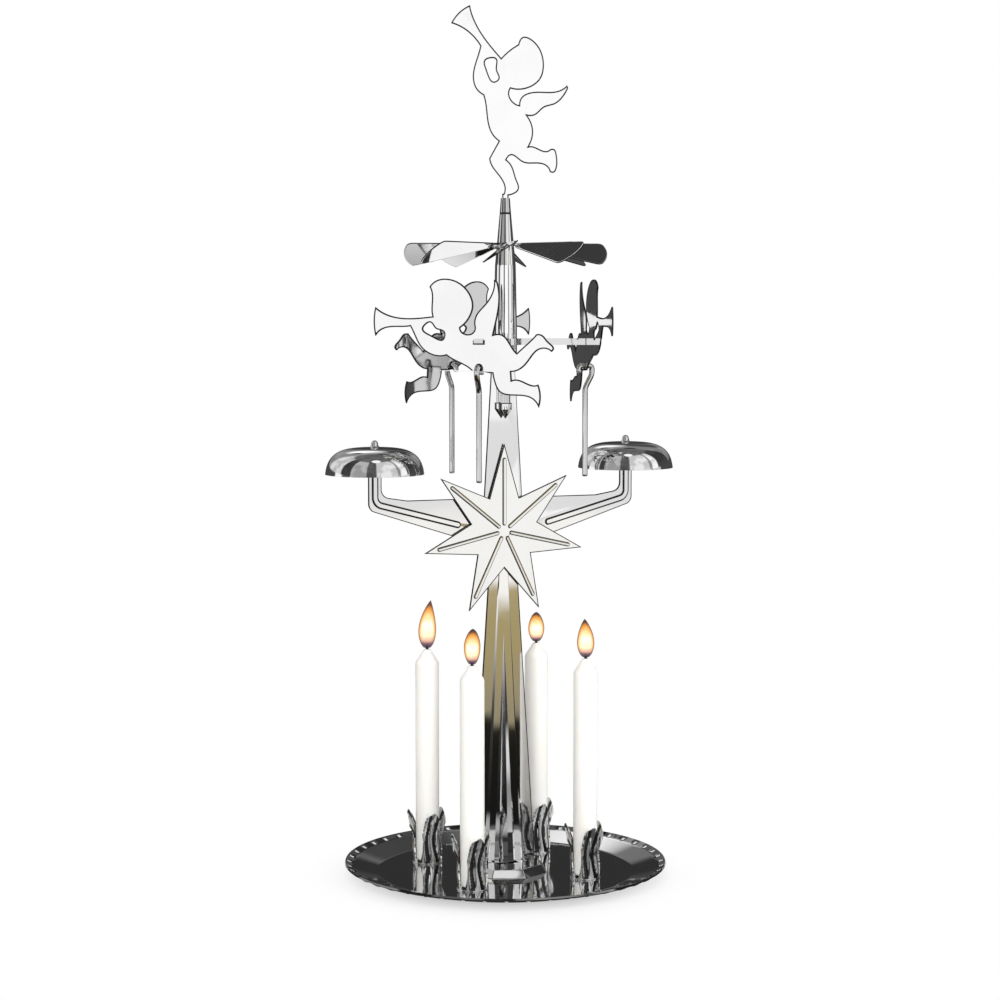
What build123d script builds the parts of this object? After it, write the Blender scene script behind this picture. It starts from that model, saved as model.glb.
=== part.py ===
"""Angel chime carousel: a candle-driven turning ornament with two struck bells.

Millimetres, +Z up, origin on the table under the centre of the tray.
X runs along the bell arms and -Y is the side that the star faces.
"""

import os
from math import cos, hypot, radians, sin, sqrt, tan

from build123d import *

# Fits
fit_gap = 0.05        # between pieces that are fixed to each other
seat_gap = 0.1        # between loose pieces and the seat that carries them
run_gap = 0.08        # around shafts and pegs that turn

# Tray
tray_radius = 55.0
tray_sheet = 0.6
tray_height = 5.2
rim_width = 2.6
rim_rise = 1.2
floor_radius = 43.6
foot_radius = 37.4    # of the inner edge of the ring that the tray stands on
foot_width = 1.4
foot_step = 0.8
floor_raise = 0.9     # height of the floor's underside above the table
floor_top = floor_raise + tray_sheet

# Base collar, an eight-sided plate
collar_sides = 8
collar_radius = 15.0
collar_top_radius = 12.9
collar_height = 2.6
collar_turn = 4.5     # azimuth of a corner
collar_top = floor_top + collar_height

# Post, stamped from one sheet
post_sheet = 0.7
pin_radius = 1.7
post_front = pin_radius + fit_gap
post_back = post_front + post_sheet
foot_half = 11.2
flange_base_half = 11.9
flange_top_half = 5.4
flange_drop = 10.0    # from the foot of the arms to the top of the flanges
column_half = 4.9
column_drop = 4.6
arm_upper_z = 130.5
arm_depth = 12.9
arm_lower_x = 18.0
arm_lower_z = arm_upper_z - arm_depth
column_z = arm_lower_z - column_drop
flange_top_z = column_z - flange_drop
arm_rise_x = 35.0
blade_root_half = 7.0
blade_mid_half = 6.05
blade_mid_z = 147.0
blade_top_half = 4.3
blade_top_z = 175.0
stem_x = 46.6
stem_half = 2.3
stem_foot_drop = 3.0
stem_inner_rise = 1.5
stem_foot_z = arm_upper_z - stem_foot_drop
stem_inner_z = arm_upper_z + stem_inner_rise
stem_bend = 3.0
panel_foot_half = 7.3
panel_foot_flat = 6.3
panel_foot_depth = 1.3
panel_apex_z = 138.0
ridge_foot_half = 4.1
ridge_break_half = 2.9
ridge_break_depth = 1.6
ridge_foot_depth = 3.2
ridge_apex_z = 84.0
fold_hollow_drop = 14.0
bead_half = 0.9
bead_height = 0.45
bead_end_x = 16.8
bead_end_drop = 8.8
bead_turn_drop = 0.9
bead_end_z = arm_upper_z - bead_end_drop
bead_turn_z = arm_upper_z - bead_turn_drop
bead_bend = 3.0
tab_x = 9.5
tab_half = 1.1
tab_reach = 2.6
pocket_drop = 12.0    # from the blade's top to the pocket's mouth
pocket_top_z = blade_top_z - pocket_drop
pocket_wall = 0.5
pocket_depth = 2.2
pocket_point = 3.2

# Star
star_points = 7
star_radius = 30.0
star_notch_radius = 12.6
star_sheet = 0.6
star_drop = 11.5
star_z = arm_upper_z - star_drop
star_rib_width = 0.9
star_rib_height = 0.25
star_rib_start = 2.2
star_rib_end = 25.0
star_tab_x = 4.2
star_tab_height = 3.0
star_tab_hook = 1.2

# Bells
bell_radius = 16.8
bell_rim_radius = 15.9
bell_wall = 0.6
bell_rise = 9.2       # from the arm's upper edge to the bell's rim
bell_rim_z = arm_upper_z + bell_rise
bell_lip = 2.2
bell_dome = 6.8
nipple_radius = 1.15
nipple_foot_radius = 2.2
nipple_foot_height = 0.9
nipple_height = 2.4
peg_half = 0.6
peg_height = 1.9

# Candles and their holders
candle_radius = 4.1
candle_top_z = 76.8
candle_taper = 4.4
candle_tip_radius = 1.35
candle_x = 20.8
candle_y = 20.8
wick_radius = 0.55
wick_sunk = 4.0
wick_height = 3.2
holder_sheet = 0.45
holder_gap = 0.15
petal_count = 3
petal_azimuth = 27.0
petal_height = 18.2
petal_straight = 12.0
petal_flare = 2.6
petal_root_half = 2.2
petal_half = 3.3
petal_belly_z = 7.6
petal_lobe_z = 12.6
petal_notch_z = 14.4
petal_notch_half = 2.1
rivet_radius = 1.0
rivet_head_radius = 1.8
rivet_head = 0.4

# Spindle pin
pin_shank_top_z = 182.0
needle_radius = 0.9
needle_shoulder = 4.0
needle_point = 3.0
needle_tip_radius = 0.12
pin_tip_z = 226.0

# Rotor tube, a tapering drawn tube, as radius at height
tube_wall = 0.45
tube_bottom_z = 180.0
tube_grip_z = 188.0
tube_waist_z = 209.7
tube_seat_z = 217.0
tube_top_z = 227.5
tube_grip_radius = 3.95
tube_waist_radius = 3.52
tube_seat_radius = 2.85
tube_top_radius = 1.9
tube_steps = [tube_bottom_z, tube_grip_z, tube_waist_z, tube_seat_z, tube_top_z]
cup_height = 2.6
cup_recess_radius = 1.1
socket_top_z = 232.3
socket_top_radius = 1.55
socket_spigot = 0.8
socket_slot_depth = 3.4

# Turbine wheel
wheel_blades = 8
wheel_azimuth = 109.0
wheel_sheet = 0.4
wheel_hub_radius = 4.8
wheel_tip_radius = 34.5
wheel_corner_radius = 33.0
wheel_half_angle = 10.4
wheel_pitch = 32.0
wheel_corner_round = 2.0
wheel_root_radius = 6.5
wheel_neck_width = 2.2

# Angel carrier
carrier_z = 183.8     # centre of the slots in the angels
carrier_height = 2.2
carrier_width = 3.4
carrier_sheet = 0.5
carrier_hub_radius = 5.6
carrier_tab_width = 3.2
carrier_tab_lip = 1.5

# Flat angels
angel_count = 3
angel_azimuth = 229.0
angel_plane_radius = 28.0
angel_sheet = 0.6
rod_hole_drop = 8.3
top_angel_azimuth = 157.0
top_angel_foot_z = 233.2
top_tab_half = 1.1

# Striker rods
rod_radius = 0.8
rod_hole_gap = 0.15
rod_bottom_z = 137.5
rod_straight_top_z = 168.0
rod_jog_z = 172.6
rod_bow = 2.4         # how far the hook stands out beyond the angel's plane
rod_tail_reach = 2.2
rod_tail_drop = 2.4
rod_bend = 1.3

# Outlines of the flat angels: u towards the trumpet, then height.
# The turning angels are drawn from the slot's centre, the top one from its foot.
turning_angel_strokes = [
    [(36.4, 11.7), (37.0, 7.0), (36.4, 2.1)],
    [(36.4, 2.1), (33.1, 4.6), (28.9, 5.05), (24.0, 5.3)],
    [(24.0, 5.3), (22.6, 2.5), (19.9, -2.0), (15.6, -4.4), (11.3, -4.3)],
    [(11.3, -4.3), (7.8, -6.3), (4.6, -7.8), (2.0, -9.8)],
    [(2.0, -9.8), (-4.7, -10.1)],
    [(-4.7, -10.1), (-5.5, -13.4), (-7.4, -16.4), (-10.8, -17.3), (-16.7, -17.7), (-20.6, -21.2)],
    [(-20.6, -21.2), (-21.2, -16.9), (-20.4, -13.6)],
    [(-20.4, -13.6), (-18.8, -13.9), (-15.1, -12.6), (-11.3, -12.3)],
    [(-11.3, -12.3), (-11.1, -9.6)],
    [(-11.1, -9.6), (-13.5, -9.1), (-16.7, -6.5), (-20.9, -2.2), (-22.8, -2.0), (-24.9, -3.0)],
    [(-24.9, -3.0), (-25.7, -1.75), (-23.6, 0.5), (-22.0, 2.3), (-19.8, 2.8)],
    [(-19.8, 2.8), (-18.2, 1.1), (-15.6, -1.2), (-13.1, -3.4)],
    [(-13.1, -3.4), (-11.1, -0.9), (-9.2, 1.8), (-5.0, 2.6)],
    [(-5.0, 2.6), (-5.8, 5.9), (-7.1, 13.0), (-6.3, 20.0)],
    [(-6.3, 20.0), (-5.2, 20.5)],
    [(-5.2, 20.5), (-5.0, 17.5), (-2.3, 12.7), (0.35, 9.9), (1.4, 4.8)],
    [(1.4, 4.8), (3.1, 2.8), (6.0, 3.6), (6.5, 4.8)],
    [(6.5, 4.8), (2.7, 9.2), (2.0, 12.1), (3.5, 16.5), (8.5, 20.4), (14.8, 20.4), (17.2, 18.3)],
    [(17.2, 18.3), (16.4, 16.1), (16.5, 10.5), (16.2, 8.6)],
    [(16.2, 8.6), (24.3, 8.0), (30.5, 8.7), (36.4, 11.7)],
]
turning_angel_crook = [(18.9, 5.6), (16.5, 6.3), (15.0, 4.5), (12.2, 3.3), (12.3, 1.4), (16.8, 2.4)]
top_angel_strokes = [
    [(11.9, 63.6), (15.6, 61.2), (18.3, 57.6)],
    [(18.3, 57.6), (14.9, 56.2), (8.5, 50.0)],
    [(8.5, 50.0), (10.3, 44.0), (11.0, 40.5), (10.8, 37.8), (7.5, 33.6)],
    [(7.5, 33.6), (6.4, 27.2), (5.7, 23.1), (2.3, 18.2)],
    [(2.3, 18.2), (5.5, 12.5)],
    [(5.5, 12.5), (5.1, 10.7), (1.4, 5.4), (0.4, 3.2), (0.9, 0.0)],
    [(0.9, 0.0), (-1.4, 0.0)],
    [(-1.4, 0.0), (-4.6, 3.2), (-3.7, 5.6), (-2.5, 9.4), (-0.4, 12.0)],
    [(-0.4, 12.0), (-2.0, 13.5), (-5.5, 11.3), (-11.0, 10.7), (-13.2, 10.2), (-15.0, 7.9)],
    [(-15.0, 7.9), (-16.6, 7.8), (-17.5, 9.8), (-17.4, 13.4), (-16.7, 15.4), (-15.2, 15.6)],
    [(-15.2, 15.6), (-13.7, 14.9), (-11.0, 15.8), (-8.0, 16.5)],
    [(-8.0, 16.5), (-9.4, 21.4), (-7.5, 26.7)],
    [(-7.5, 26.7), (-11.0, 27.6), (-13.0, 29.4), (-16.5, 30.5), (-19.4, 32.9), (-21.2, 36.0)],
    [(-21.2, 36.0), (-20.8, 36.9)],
    [(-20.8, 36.9), (-15.7, 34.7), (-9.6, 34.7), (-5.9, 33.4), (-4.6, 30.3)],
    [(-4.6, 30.3), (-1.8, 32.4), (-1.3, 34.1), (-1.8, 35.8)],
    [(-1.8, 35.8), (-5.9, 35.5), (-11.9, 39.1), (-13.0, 44.0), (-9.1, 52.0), (-6.4, 53.1), (-4.3, 50.5)],
    [(-4.3, 50.5), (-0.2, 47.6), (1.4, 46.0)],
    [(1.4, 46.0), (6.4, 52.0), (9.8, 57.4), (11.9, 63.6)],
]
top_angel_crook = [(5.5, 45.8), (3.2, 45.4), (3.2, 41.8), (2.4, 39.1), (3.5, 38.2), (6.3, 42.2)]


def heading(azimuth):
    """Horizontal unit vector at an azimuth in degrees."""
    return Vector(cos(radians(azimuth)), sin(radians(azimuth)), 0)


def facing_plane(azimuth, radius, height):
    """Upright plane that faces outwards at an azimuth, with local X counter-clockwise and local Y up."""
    out = heading(azimuth)
    return Plane(out * radius + Vector(0, 0, height), x_dir=heading(azimuth + 90), z_dir=out)


def radial_plane(azimuth):
    """Upright plane through the axis, with local X outwards and local Y up."""
    return Plane((0, 0, 0), x_dir=heading(azimuth), z_dir=-heading(azimuth + 90))


def draw_outline(strokes):
    """Draw the strokes of a closed outline, a line for two points and a curve for more."""
    for stroke in strokes:
        if len(stroke) == 2:
            Line(*stroke)
        else:
            Spline(*stroke)


def tube_radius(z):
    """Outer radius of the rotor tube at a height."""
    sizes = [tube_grip_radius, tube_grip_radius, tube_waist_radius, tube_seat_radius, tube_top_radius]
    for low, high, low_size, high_size in zip(tube_steps, tube_steps[1:], sizes, sizes[1:]):
        if z <= high:
            return low_size + (high_size - low_size) * (z - low) / (high - low)
    return tube_top_radius


def panel_depth(z):
    """How far the post's raised panel stands out at a height."""
    return panel_foot_depth * (panel_apex_z - z) / (panel_apex_z - floor_top)


def panel_section(wall, back):
    """Foot section of the post's raised panel, drawn in by a wall and closed at a back line."""
    side_run = (panel_foot_half - panel_foot_flat) / panel_foot_depth
    slant = sqrt(1 + side_run**2)
    front_half = panel_foot_flat - wall * (slant - side_run)
    back_half = panel_foot_half - wall * slant + side_run * (back - post_front)
    front = post_front - panel_foot_depth + wall
    with BuildSketch(Plane.XY.offset(floor_top)) as section:
        with BuildLine():
            Polyline(
                (-back_half, back),
                (-front_half, front),
                (front_half, front),
                (back_half, back),
                close=True,
            )
        make_face()
    return section.sketch


def ridge_section(wall, back):
    """Foot section of the ridge on the raised panel, drawn in by a wall and closed at a back line."""
    base = post_front - panel_foot_depth
    with BuildSketch(Plane.XY.offset(floor_top)) as section:
        with BuildLine():
            Polyline(
                (-ridge_foot_half, back + wall),
                (-ridge_foot_half, base),
                (-ridge_break_half, base - ridge_break_depth),
                (0, base - ridge_foot_depth),
                (ridge_break_half, base - ridge_break_depth),
                (ridge_foot_half, base),
                (ridge_foot_half, back + wall),
                close=True,
            )
        make_face()
        if wall:
            offset(amount=-wall, kind=Kind.INTERSECTION, mode=Mode.REPLACE)
    return section.sketch


def bell_ceiling(radius):
    """Height of the bell's inner surface above a radius."""
    inner_reach = bell_radius - bell_wall
    return bell_rim_z + bell_lip + (bell_dome - bell_wall) * sqrt(1 - (radius / inner_reach) ** 2)


os.makedirs("parts", exist_ok=True)

# Tray: a shallow pressed dish that stands on a ring pressed into its floor
tab_slot_half = tab_half + fit_gap
candle_spots = [(candle_x, candle_y), (-candle_x, candle_y), (-candle_x, -candle_y), (candle_x, -candle_y)]
with BuildPart() as tray:
    with BuildSketch(Plane.XZ):
        with BuildLine():
            Polyline(
                (0, floor_top),
                (foot_radius - foot_step, floor_top),
                (foot_radius, tray_sheet),
                (foot_radius + foot_width, tray_sheet),
                (foot_radius + foot_width + foot_step, floor_top),
                (floor_radius, floor_top),
                (tray_radius - rim_width, tray_height - rim_rise),
                (tray_radius, tray_height),
            )
            offset(amount=tray_sheet, side=Side.RIGHT, kind=Kind.INTERSECTION)
        make_face()
    revolve(axis=Axis.Z)
    with BuildSketch(Plane.XY.offset(floor_top)):
        with Locations(*candle_spots):
            Circle(rivet_radius + fit_gap)
        with Locations((tab_x, post_front + post_sheet / 2), (-tab_x, post_front + post_sheet / 2)):
            Rectangle(2 * tab_slot_half, post_sheet + 2 * fit_gap)
    extrude(amount=-2 * tray_sheet, mode=Mode.SUBTRACT)
tray.part.label = "tray"
export_step(tray.part, "parts/tray.step")

# Base collar: an eight-sided sloping plate with a slot cut to the foot of the post
panel_front = post_front - panel_foot_depth
ridge_front = panel_front - ridge_foot_depth
with BuildPart() as base_collar:
    with BuildSketch(Plane.XY.offset(floor_top)):
        RegularPolygon(collar_radius, collar_sides, rotation=collar_turn)
    with BuildSketch(Plane.XY.offset(collar_top)):
        RegularPolygon(collar_top_radius, collar_sides, rotation=collar_turn)
    loft()
    with BuildSketch(Plane.XY.offset(floor_top)):
        for half, front in (
            (foot_half, post_front),
            (panel_foot_half, panel_front),
            (ridge_foot_half, ridge_front),
        ):
            with Locations((0, (front + post_back) / 2)):
                Rectangle(2 * (half + fit_gap), post_back - front + 2 * fit_gap)
    extrude(amount=collar_height, mode=Mode.SUBTRACT)
base_collar.part.label = "base_collar"
export_step(base_collar.part, "parts/base_collar.step")

# Post: flat flanges, arms and blade of one outline, with a ridged panel, beads and a pocket for the pin
stem_top_z = bell_ceiling(stem_half) - seat_gap
peg_top_z = stem_top_z + peg_height
pocket_radius = pin_radius + pocket_wall
panel_outside = panel_section(0, post_front)
panel_inside = panel_section(post_sheet, post_back)
ridge_outside = ridge_section(0, post_front)
ridge_inside = ridge_section(post_sheet, post_back)
ridge_apex_front = post_front - panel_depth(ridge_apex_z)
with BuildPart() as post:
    with BuildSketch(Plane.XZ.offset(-post_back)):
        with BuildLine():
            Polyline(
                (0, floor_top),
                (foot_half, floor_top),
                (foot_half, collar_top),
                (flange_base_half, collar_top + tray_sheet),
                (flange_top_half, flange_top_z),
                (column_half, column_z),
                (arm_lower_x, arm_lower_z),
            )
            FilletPolyline(
                (arm_lower_x, arm_lower_z),
                (stem_x + stem_half, stem_foot_z),
                (stem_x + stem_half, stem_top_z),
                radius=stem_bend,
            )
            Polyline(
                (stem_x + stem_half, stem_top_z),
                (stem_x + peg_half, stem_top_z),
                (stem_x + peg_half, peg_top_z),
                (stem_x - peg_half, peg_top_z),
                (stem_x - peg_half, stem_top_z),
                (stem_x - stem_half, stem_top_z),
            )
            FilletPolyline(
                (stem_x - stem_half, stem_top_z),
                (stem_x - stem_half, stem_inner_z),
                (arm_rise_x, arm_upper_z),
                radius=stem_bend,
            )
            Polyline(
                (arm_rise_x, arm_upper_z),
                (blade_root_half, arm_upper_z),
                (blade_mid_half, blade_mid_z),
                (blade_top_half, blade_top_z),
                (0, blade_top_z),
                (0, floor_top),
            )
        make_face()
        mirror(about=Plane.YZ)
        with Locations((star_tab_x, star_z), (-star_tab_x, star_z)):
            Rectangle(star_sheet + 2 * fit_gap, star_tab_height + 2 * fit_gap, mode=Mode.SUBTRACT)
    extrude(amount=post_sheet)
    loft([panel_outside.face(), Vertex(0, post_front, panel_apex_z)])
    loft([ridge_outside.face(), Vertex(0, ridge_apex_front, ridge_apex_z)])
    loft([panel_inside.face(), Vertex(0, post_back, panel_apex_z - fold_hollow_drop)], mode=Mode.SUBTRACT)
    loft([ridge_inside.face(), Vertex(0, post_back, ridge_apex_z - fold_hollow_drop)], mode=Mode.SUBTRACT)
    with BuildSketch(Plane.XZ.offset(-post_front)):
        with BuildLine():
            FilletPolyline(
                (stem_x, stem_top_z - bead_bend),
                (stem_x, bead_turn_z),
                (bead_end_x, bead_end_z),
                radius=bead_bend,
            )
            offset(amount=bead_half, side=Side.BOTH)
        make_face()
        mirror(about=Plane.YZ)
    extrude(amount=bead_height)
    with BuildSketch(Plane.XZ):
        with BuildLine():
            Polyline(
                (0, pocket_top_z - pocket_depth - pocket_point),
                (pocket_radius, pocket_top_z - pocket_depth),
                (pocket_radius, pocket_top_z),
                (0, pocket_top_z),
                close=True,
            )
        make_face()
    revolve(axis=Axis.Z)
    split(bisect_by=Plane.XZ.offset(-post_back), keep=Keep.TOP)
    with BuildSketch(Plane.XZ):
        with BuildLine():
            Polyline(
                (0, pocket_top_z - pocket_depth - pocket_point + pocket_wall),
                (pin_radius + fit_gap, pocket_top_z - pocket_depth),
                (pin_radius + fit_gap, pocket_top_z),
                (0, pocket_top_z),
                close=True,
            )
        make_face()
    revolve(axis=Axis.Z, mode=Mode.SUBTRACT)
    for side in (-1, 1):
        with BuildSketch(Plane.YZ.offset(side * tab_x)):
            with BuildLine():
                Polyline(
                    (post_front, floor_top),
                    (post_front, floor_raise - post_sheet),
                    (post_back + tab_reach, floor_raise - post_sheet),
                    (post_back + tab_reach, floor_raise - fit_gap),
                    (post_back, floor_raise - fit_gap),
                    (post_back, floor_top),
                    close=True,
                )
            make_face()
        extrude(amount=tab_half, both=True)
post.part.label = "post"
export_step(post.part, "parts/post.step")

# Star: a flat star with a pressed rib along each point, held to the post by two tabs at its back
star_back = post_front - panel_depth(star_z - star_notch_radius) - 2 * fit_gap
star_step = 360 / star_points
with BuildPart() as star:
    with BuildSketch(Plane.XZ.offset(-star_back)):
        with Locations((0, star_z)):
            corners = []
            for point in range(star_points):
                for radius, turn in ((star_radius, 0), (star_notch_radius, star_step / 2)):
                    angle = radians(90 + point * star_step + turn)
                    corners.append((radius * cos(angle), radius * sin(angle)))
            Polygon(*corners, align=None)
    extrude(amount=star_sheet)
    with BuildSketch(Plane.XZ.offset(star_sheet - star_back)):
        with Locations((0, star_z)):
            with PolarLocations((star_rib_start + star_rib_end) / 2, star_points, start_angle=90):
                SlotOverall(star_rib_end - star_rib_start, star_rib_width)
    extrude(amount=star_rib_height)
    for side in (-1, 1):
        with BuildSketch(Plane.XY.offset(star_z)):
            with BuildLine():
                inner = side * (star_tab_x - star_sheet / 2)
                outer = side * (star_tab_x + star_sheet / 2)
                hooked = side * (star_tab_x + star_sheet / 2 + star_tab_hook)
                Polyline(
                    (inner, star_back),
                    (outer, star_back),
                    (outer, post_back + fit_gap),
                    (hooked, post_back + fit_gap),
                    (hooked, post_back + fit_gap + star_sheet),
                    (inner, post_back + fit_gap + star_sheet),
                    close=True,
                )
            make_face()
        extrude(amount=star_tab_height / 2, both=True)
star.part.label = "star"
export_step(star.part, "parts/star.step")

# Bells: thin domes with a drawn nipple that stands over the peg of the arm
dome_z = bell_rim_z + bell_lip
crown_z = dome_z + bell_dome
foot_share = sqrt(1 - (nipple_foot_radius / bell_radius) ** 2)
nipple_foot_z = dome_z + bell_dome * foot_share
peg_corner = hypot(peg_half, post_sheet / 2)
for bell_name, side in (("bell_left", -1), ("bell_right", 1)):
    bell_spot = Plane((side * stem_x, (post_front + post_back) / 2, 0), x_dir=(1, 0, 0), z_dir=(0, -1, 0))
    bell_axis = Axis(bell_spot.origin, (0, 0, 1))
    with BuildPart() as bell:
        with BuildSketch(bell_spot):
            with BuildLine():
                Polyline((0, crown_z), (0, bell_rim_z), (bell_rim_radius, bell_rim_z), (bell_radius, dome_z))
                EllipticalCenterArc((0, dome_z), bell_radius, bell_dome, arc_size=90)
            make_face()
        revolve(axis=bell_axis)
        with BuildSketch(bell_spot):
            with BuildLine():
                Polyline(
                    (nipple_radius, nipple_foot_z + nipple_foot_height),
                    (nipple_radius, crown_z + nipple_height - nipple_radius),
                )
                RadiusArc(
                    (nipple_radius, crown_z + nipple_height - nipple_radius),
                    (0, crown_z + nipple_height),
                    -nipple_radius,
                )
                Polyline(
                    (0, crown_z + nipple_height),
                    (0, nipple_foot_z - bell_wall / 2),
                    (nipple_foot_radius, nipple_foot_z - bell_wall / 2),
                    (nipple_foot_radius, nipple_foot_z),
                    (nipple_radius, nipple_foot_z + nipple_foot_height),
                )
            make_face()
        revolve(axis=bell_axis)
        with BuildSketch(bell_spot):
            with BuildLine():
                Polyline(
                    (0, crown_z - bell_wall),
                    (0, bell_rim_z),
                    (bell_rim_radius - bell_wall, bell_rim_z),
                    (bell_radius - bell_wall, dome_z),
                )
                EllipticalCenterArc((0, dome_z), bell_radius - bell_wall, bell_dome - bell_wall, arc_size=90)
            make_face()
        revolve(axis=bell_axis, mode=Mode.SUBTRACT)
        with BuildSketch(Plane.XY.offset(bell_rim_z)):
            with Locations((side * stem_x, (post_front + post_back) / 2)):
                Circle(peg_corner + run_gap)
        extrude(amount=peg_top_z + seat_gap - bell_rim_z, mode=Mode.SUBTRACT)
    bell.part.label = bell_name
    export_step(bell.part, f"parts/{bell_name}.step")

# Candle holders: a riveted base with three leaf petals that clasp the candle and flare at the tips
holder_radius = candle_radius + holder_gap + holder_sheet
petal_tip_z = floor_top + petal_height
with BuildPart() as petal_stencil:
    for petal in range(petal_count):
        with BuildSketch(facing_plane(petal_azimuth + petal * 360 / petal_count, 0, floor_top)):
            with BuildLine():
                Polyline((0, petal_height), (0, 0), (petal_root_half, 0))
                Spline((petal_root_half, 0), (petal_half, petal_belly_z), (petal_half, petal_lobe_z))
                Line((petal_half, petal_lobe_z), (petal_notch_half, petal_notch_z))
                Spline(
                    (petal_notch_half, petal_notch_z),
                    (petal_notch_half, (petal_notch_z + petal_height) / 2),
                    (0, petal_height),
                )
            make_face()
            mirror(about=Plane.YZ)
        extrude(amount=holder_radius + 2 * petal_flare)
    with BuildSketch(Plane.XY.offset(floor_top)):
        Circle(holder_radius)
    extrude(amount=holder_sheet)
for number, (spot_x, spot_y) in enumerate(candle_spots, start=1):
    with BuildPart() as holder:
        with BuildSketch(Plane.XZ):
            with BuildLine():
                Polyline(
                    (0, floor_top),
                    (holder_radius, floor_top),
                    (holder_radius, floor_top + petal_straight),
                )
                TangentArc(
                    (holder_radius, floor_top + petal_straight),
                    (holder_radius + petal_flare, petal_tip_z),
                    tangent=(0, 1),
                )
                offset(amount=holder_sheet, side=Side.LEFT, kind=Kind.INTERSECTION)
            make_face()
        revolve(axis=Axis.Z)
        add(petal_stencil.part, mode=Mode.INTERSECT)
        with BuildSketch(Plane.XY.offset(floor_top)):
            Circle(rivet_radius + fit_gap)
        extrude(amount=holder_sheet, mode=Mode.SUBTRACT)
    placed_holder = Pos(spot_x, spot_y, 0) * holder.part
    placed_holder.label = f"candle_holder_{number}"
    export_step(placed_holder, f"parts/candle_holder_{number}.step")

# Holder rivets: a head inside each holder and a flat tail under the tray
rivet_seat_z = floor_top + holder_sheet
with BuildPart() as holder_rivets:
    with BuildSketch(Plane.XY.offset(floor_raise - rivet_head)):
        with Locations(*candle_spots):
            Circle(rivet_head_radius)
    extrude(amount=rivet_head)
    with BuildSketch(Plane.XY.offset(floor_raise)):
        with Locations(*candle_spots):
            Circle(rivet_radius)
    extrude(amount=rivet_seat_z - floor_raise)
    with BuildSketch(Plane.XY.offset(rivet_seat_z)):
        with Locations(*candle_spots):
            Circle(rivet_head_radius)
    extrude(amount=rivet_head)
holder_rivets.part.label = "holder_rivets"
export_step(holder_rivets.part, "parts/holder_rivets.step")

# Candles with their wicks
candle_bottom_z = rivet_seat_z + rivet_head + seat_gap
shoulder_z = candle_top_z - candle_taper
for number, (spot_x, spot_y) in enumerate(candle_spots, start=1):
    candle_plane = Plane((spot_x, spot_y, 0), x_dir=(1, 0, 0), z_dir=(0, -1, 0))
    candle_axis = Axis((spot_x, spot_y, 0), (0, 0, 1))
    with BuildPart() as candle:
        with BuildSketch(candle_plane):
            with BuildLine():
                Polyline(
                    (wick_radius + fit_gap, candle_top_z),
                    (wick_radius + fit_gap, candle_top_z - wick_sunk),
                    (0, candle_top_z - wick_sunk),
                    (0, candle_bottom_z),
                    (candle_radius, candle_bottom_z),
                    (candle_radius, shoulder_z),
                )
                TangentArc(
                    (candle_tip_radius, candle_top_z),
                    (candle_radius, shoulder_z),
                    tangent=(candle_tip_radius / candle_taper, -1),
                )
                Line((candle_tip_radius, candle_top_z), (wick_radius + fit_gap, candle_top_z))
            make_face()
        revolve(axis=candle_axis)
    candle.part.label = f"candle_{number}"
    export_step(candle.part, f"parts/candle_{number}.step")
    with BuildPart() as wick:
        with BuildSketch(Plane.XY.offset(candle_top_z - wick_sunk)):
            with Locations((spot_x, spot_y)):
                Circle(wick_radius)
        extrude(amount=wick_sunk + wick_height)
    wick.part.label = f"wick_{number}"
    export_step(wick.part, f"parts/wick_{number}.step")

# Spindle pin: a round shank in the post's pocket, drawn out to a needle point
pin_foot_z = pocket_top_z - pocket_depth - pocket_point + pocket_wall + fit_gap
with BuildPart() as spindle_pin:
    with BuildSketch(Plane.XZ):
        with BuildLine():
            Polyline(
                (0, pin_foot_z),
                (pin_radius, pocket_top_z - pocket_depth + fit_gap),
                (pin_radius, pin_shank_top_z),
                (needle_radius, pin_shank_top_z + needle_shoulder),
                (needle_radius, pin_tip_z - needle_point),
                (needle_tip_radius, pin_tip_z),
                (0, pin_tip_z),
                close=True,
            )
        make_face()
    revolve(axis=Axis.Z)
spindle_pin.part.label = "spindle_pin"
export_step(spindle_pin.part, "parts/spindle_pin.step")

# Rotor tube: a drawn tube that narrows in steps
with BuildPart() as rotor_tube:
    with BuildSketch(Plane.XZ):
        with BuildLine():
            outside = [(tube_radius(z), z) for z in tube_steps]
            inside = [(tube_radius(z) - tube_wall, z) for z in reversed(tube_steps)]
            Polyline(*outside, *inside, close=True)
        make_face()
    revolve(axis=Axis.Z)
rotor_tube.part.label = "rotor_tube"
export_step(rotor_tube.part, "parts/rotor_tube.step")

# Pivot cup: a plug in the tube with a hollow that rests on the needle
cup_apex_z = pin_tip_z + seat_gap
cup_bottom_z = tube_top_z - socket_spigot - fit_gap - cup_height
cup_top_z = cup_bottom_z + cup_height
with BuildPart() as pivot_cup:
    with BuildSketch(Plane.XZ):
        with BuildLine():
            Polyline(
                (cup_recess_radius, cup_bottom_z),
                (tube_radius(cup_bottom_z) - tube_wall - fit_gap, cup_bottom_z),
                (tube_radius(cup_top_z) - tube_wall - fit_gap, cup_top_z),
                (0, cup_top_z),
                (0, cup_apex_z),
                (needle_tip_radius, cup_apex_z),
                close=True,
            )
        make_face()
    revolve(axis=Axis.Z)
pivot_cup.part.label = "pivot_cup"
export_step(pivot_cup.part, "parts/pivot_cup.step")

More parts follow.
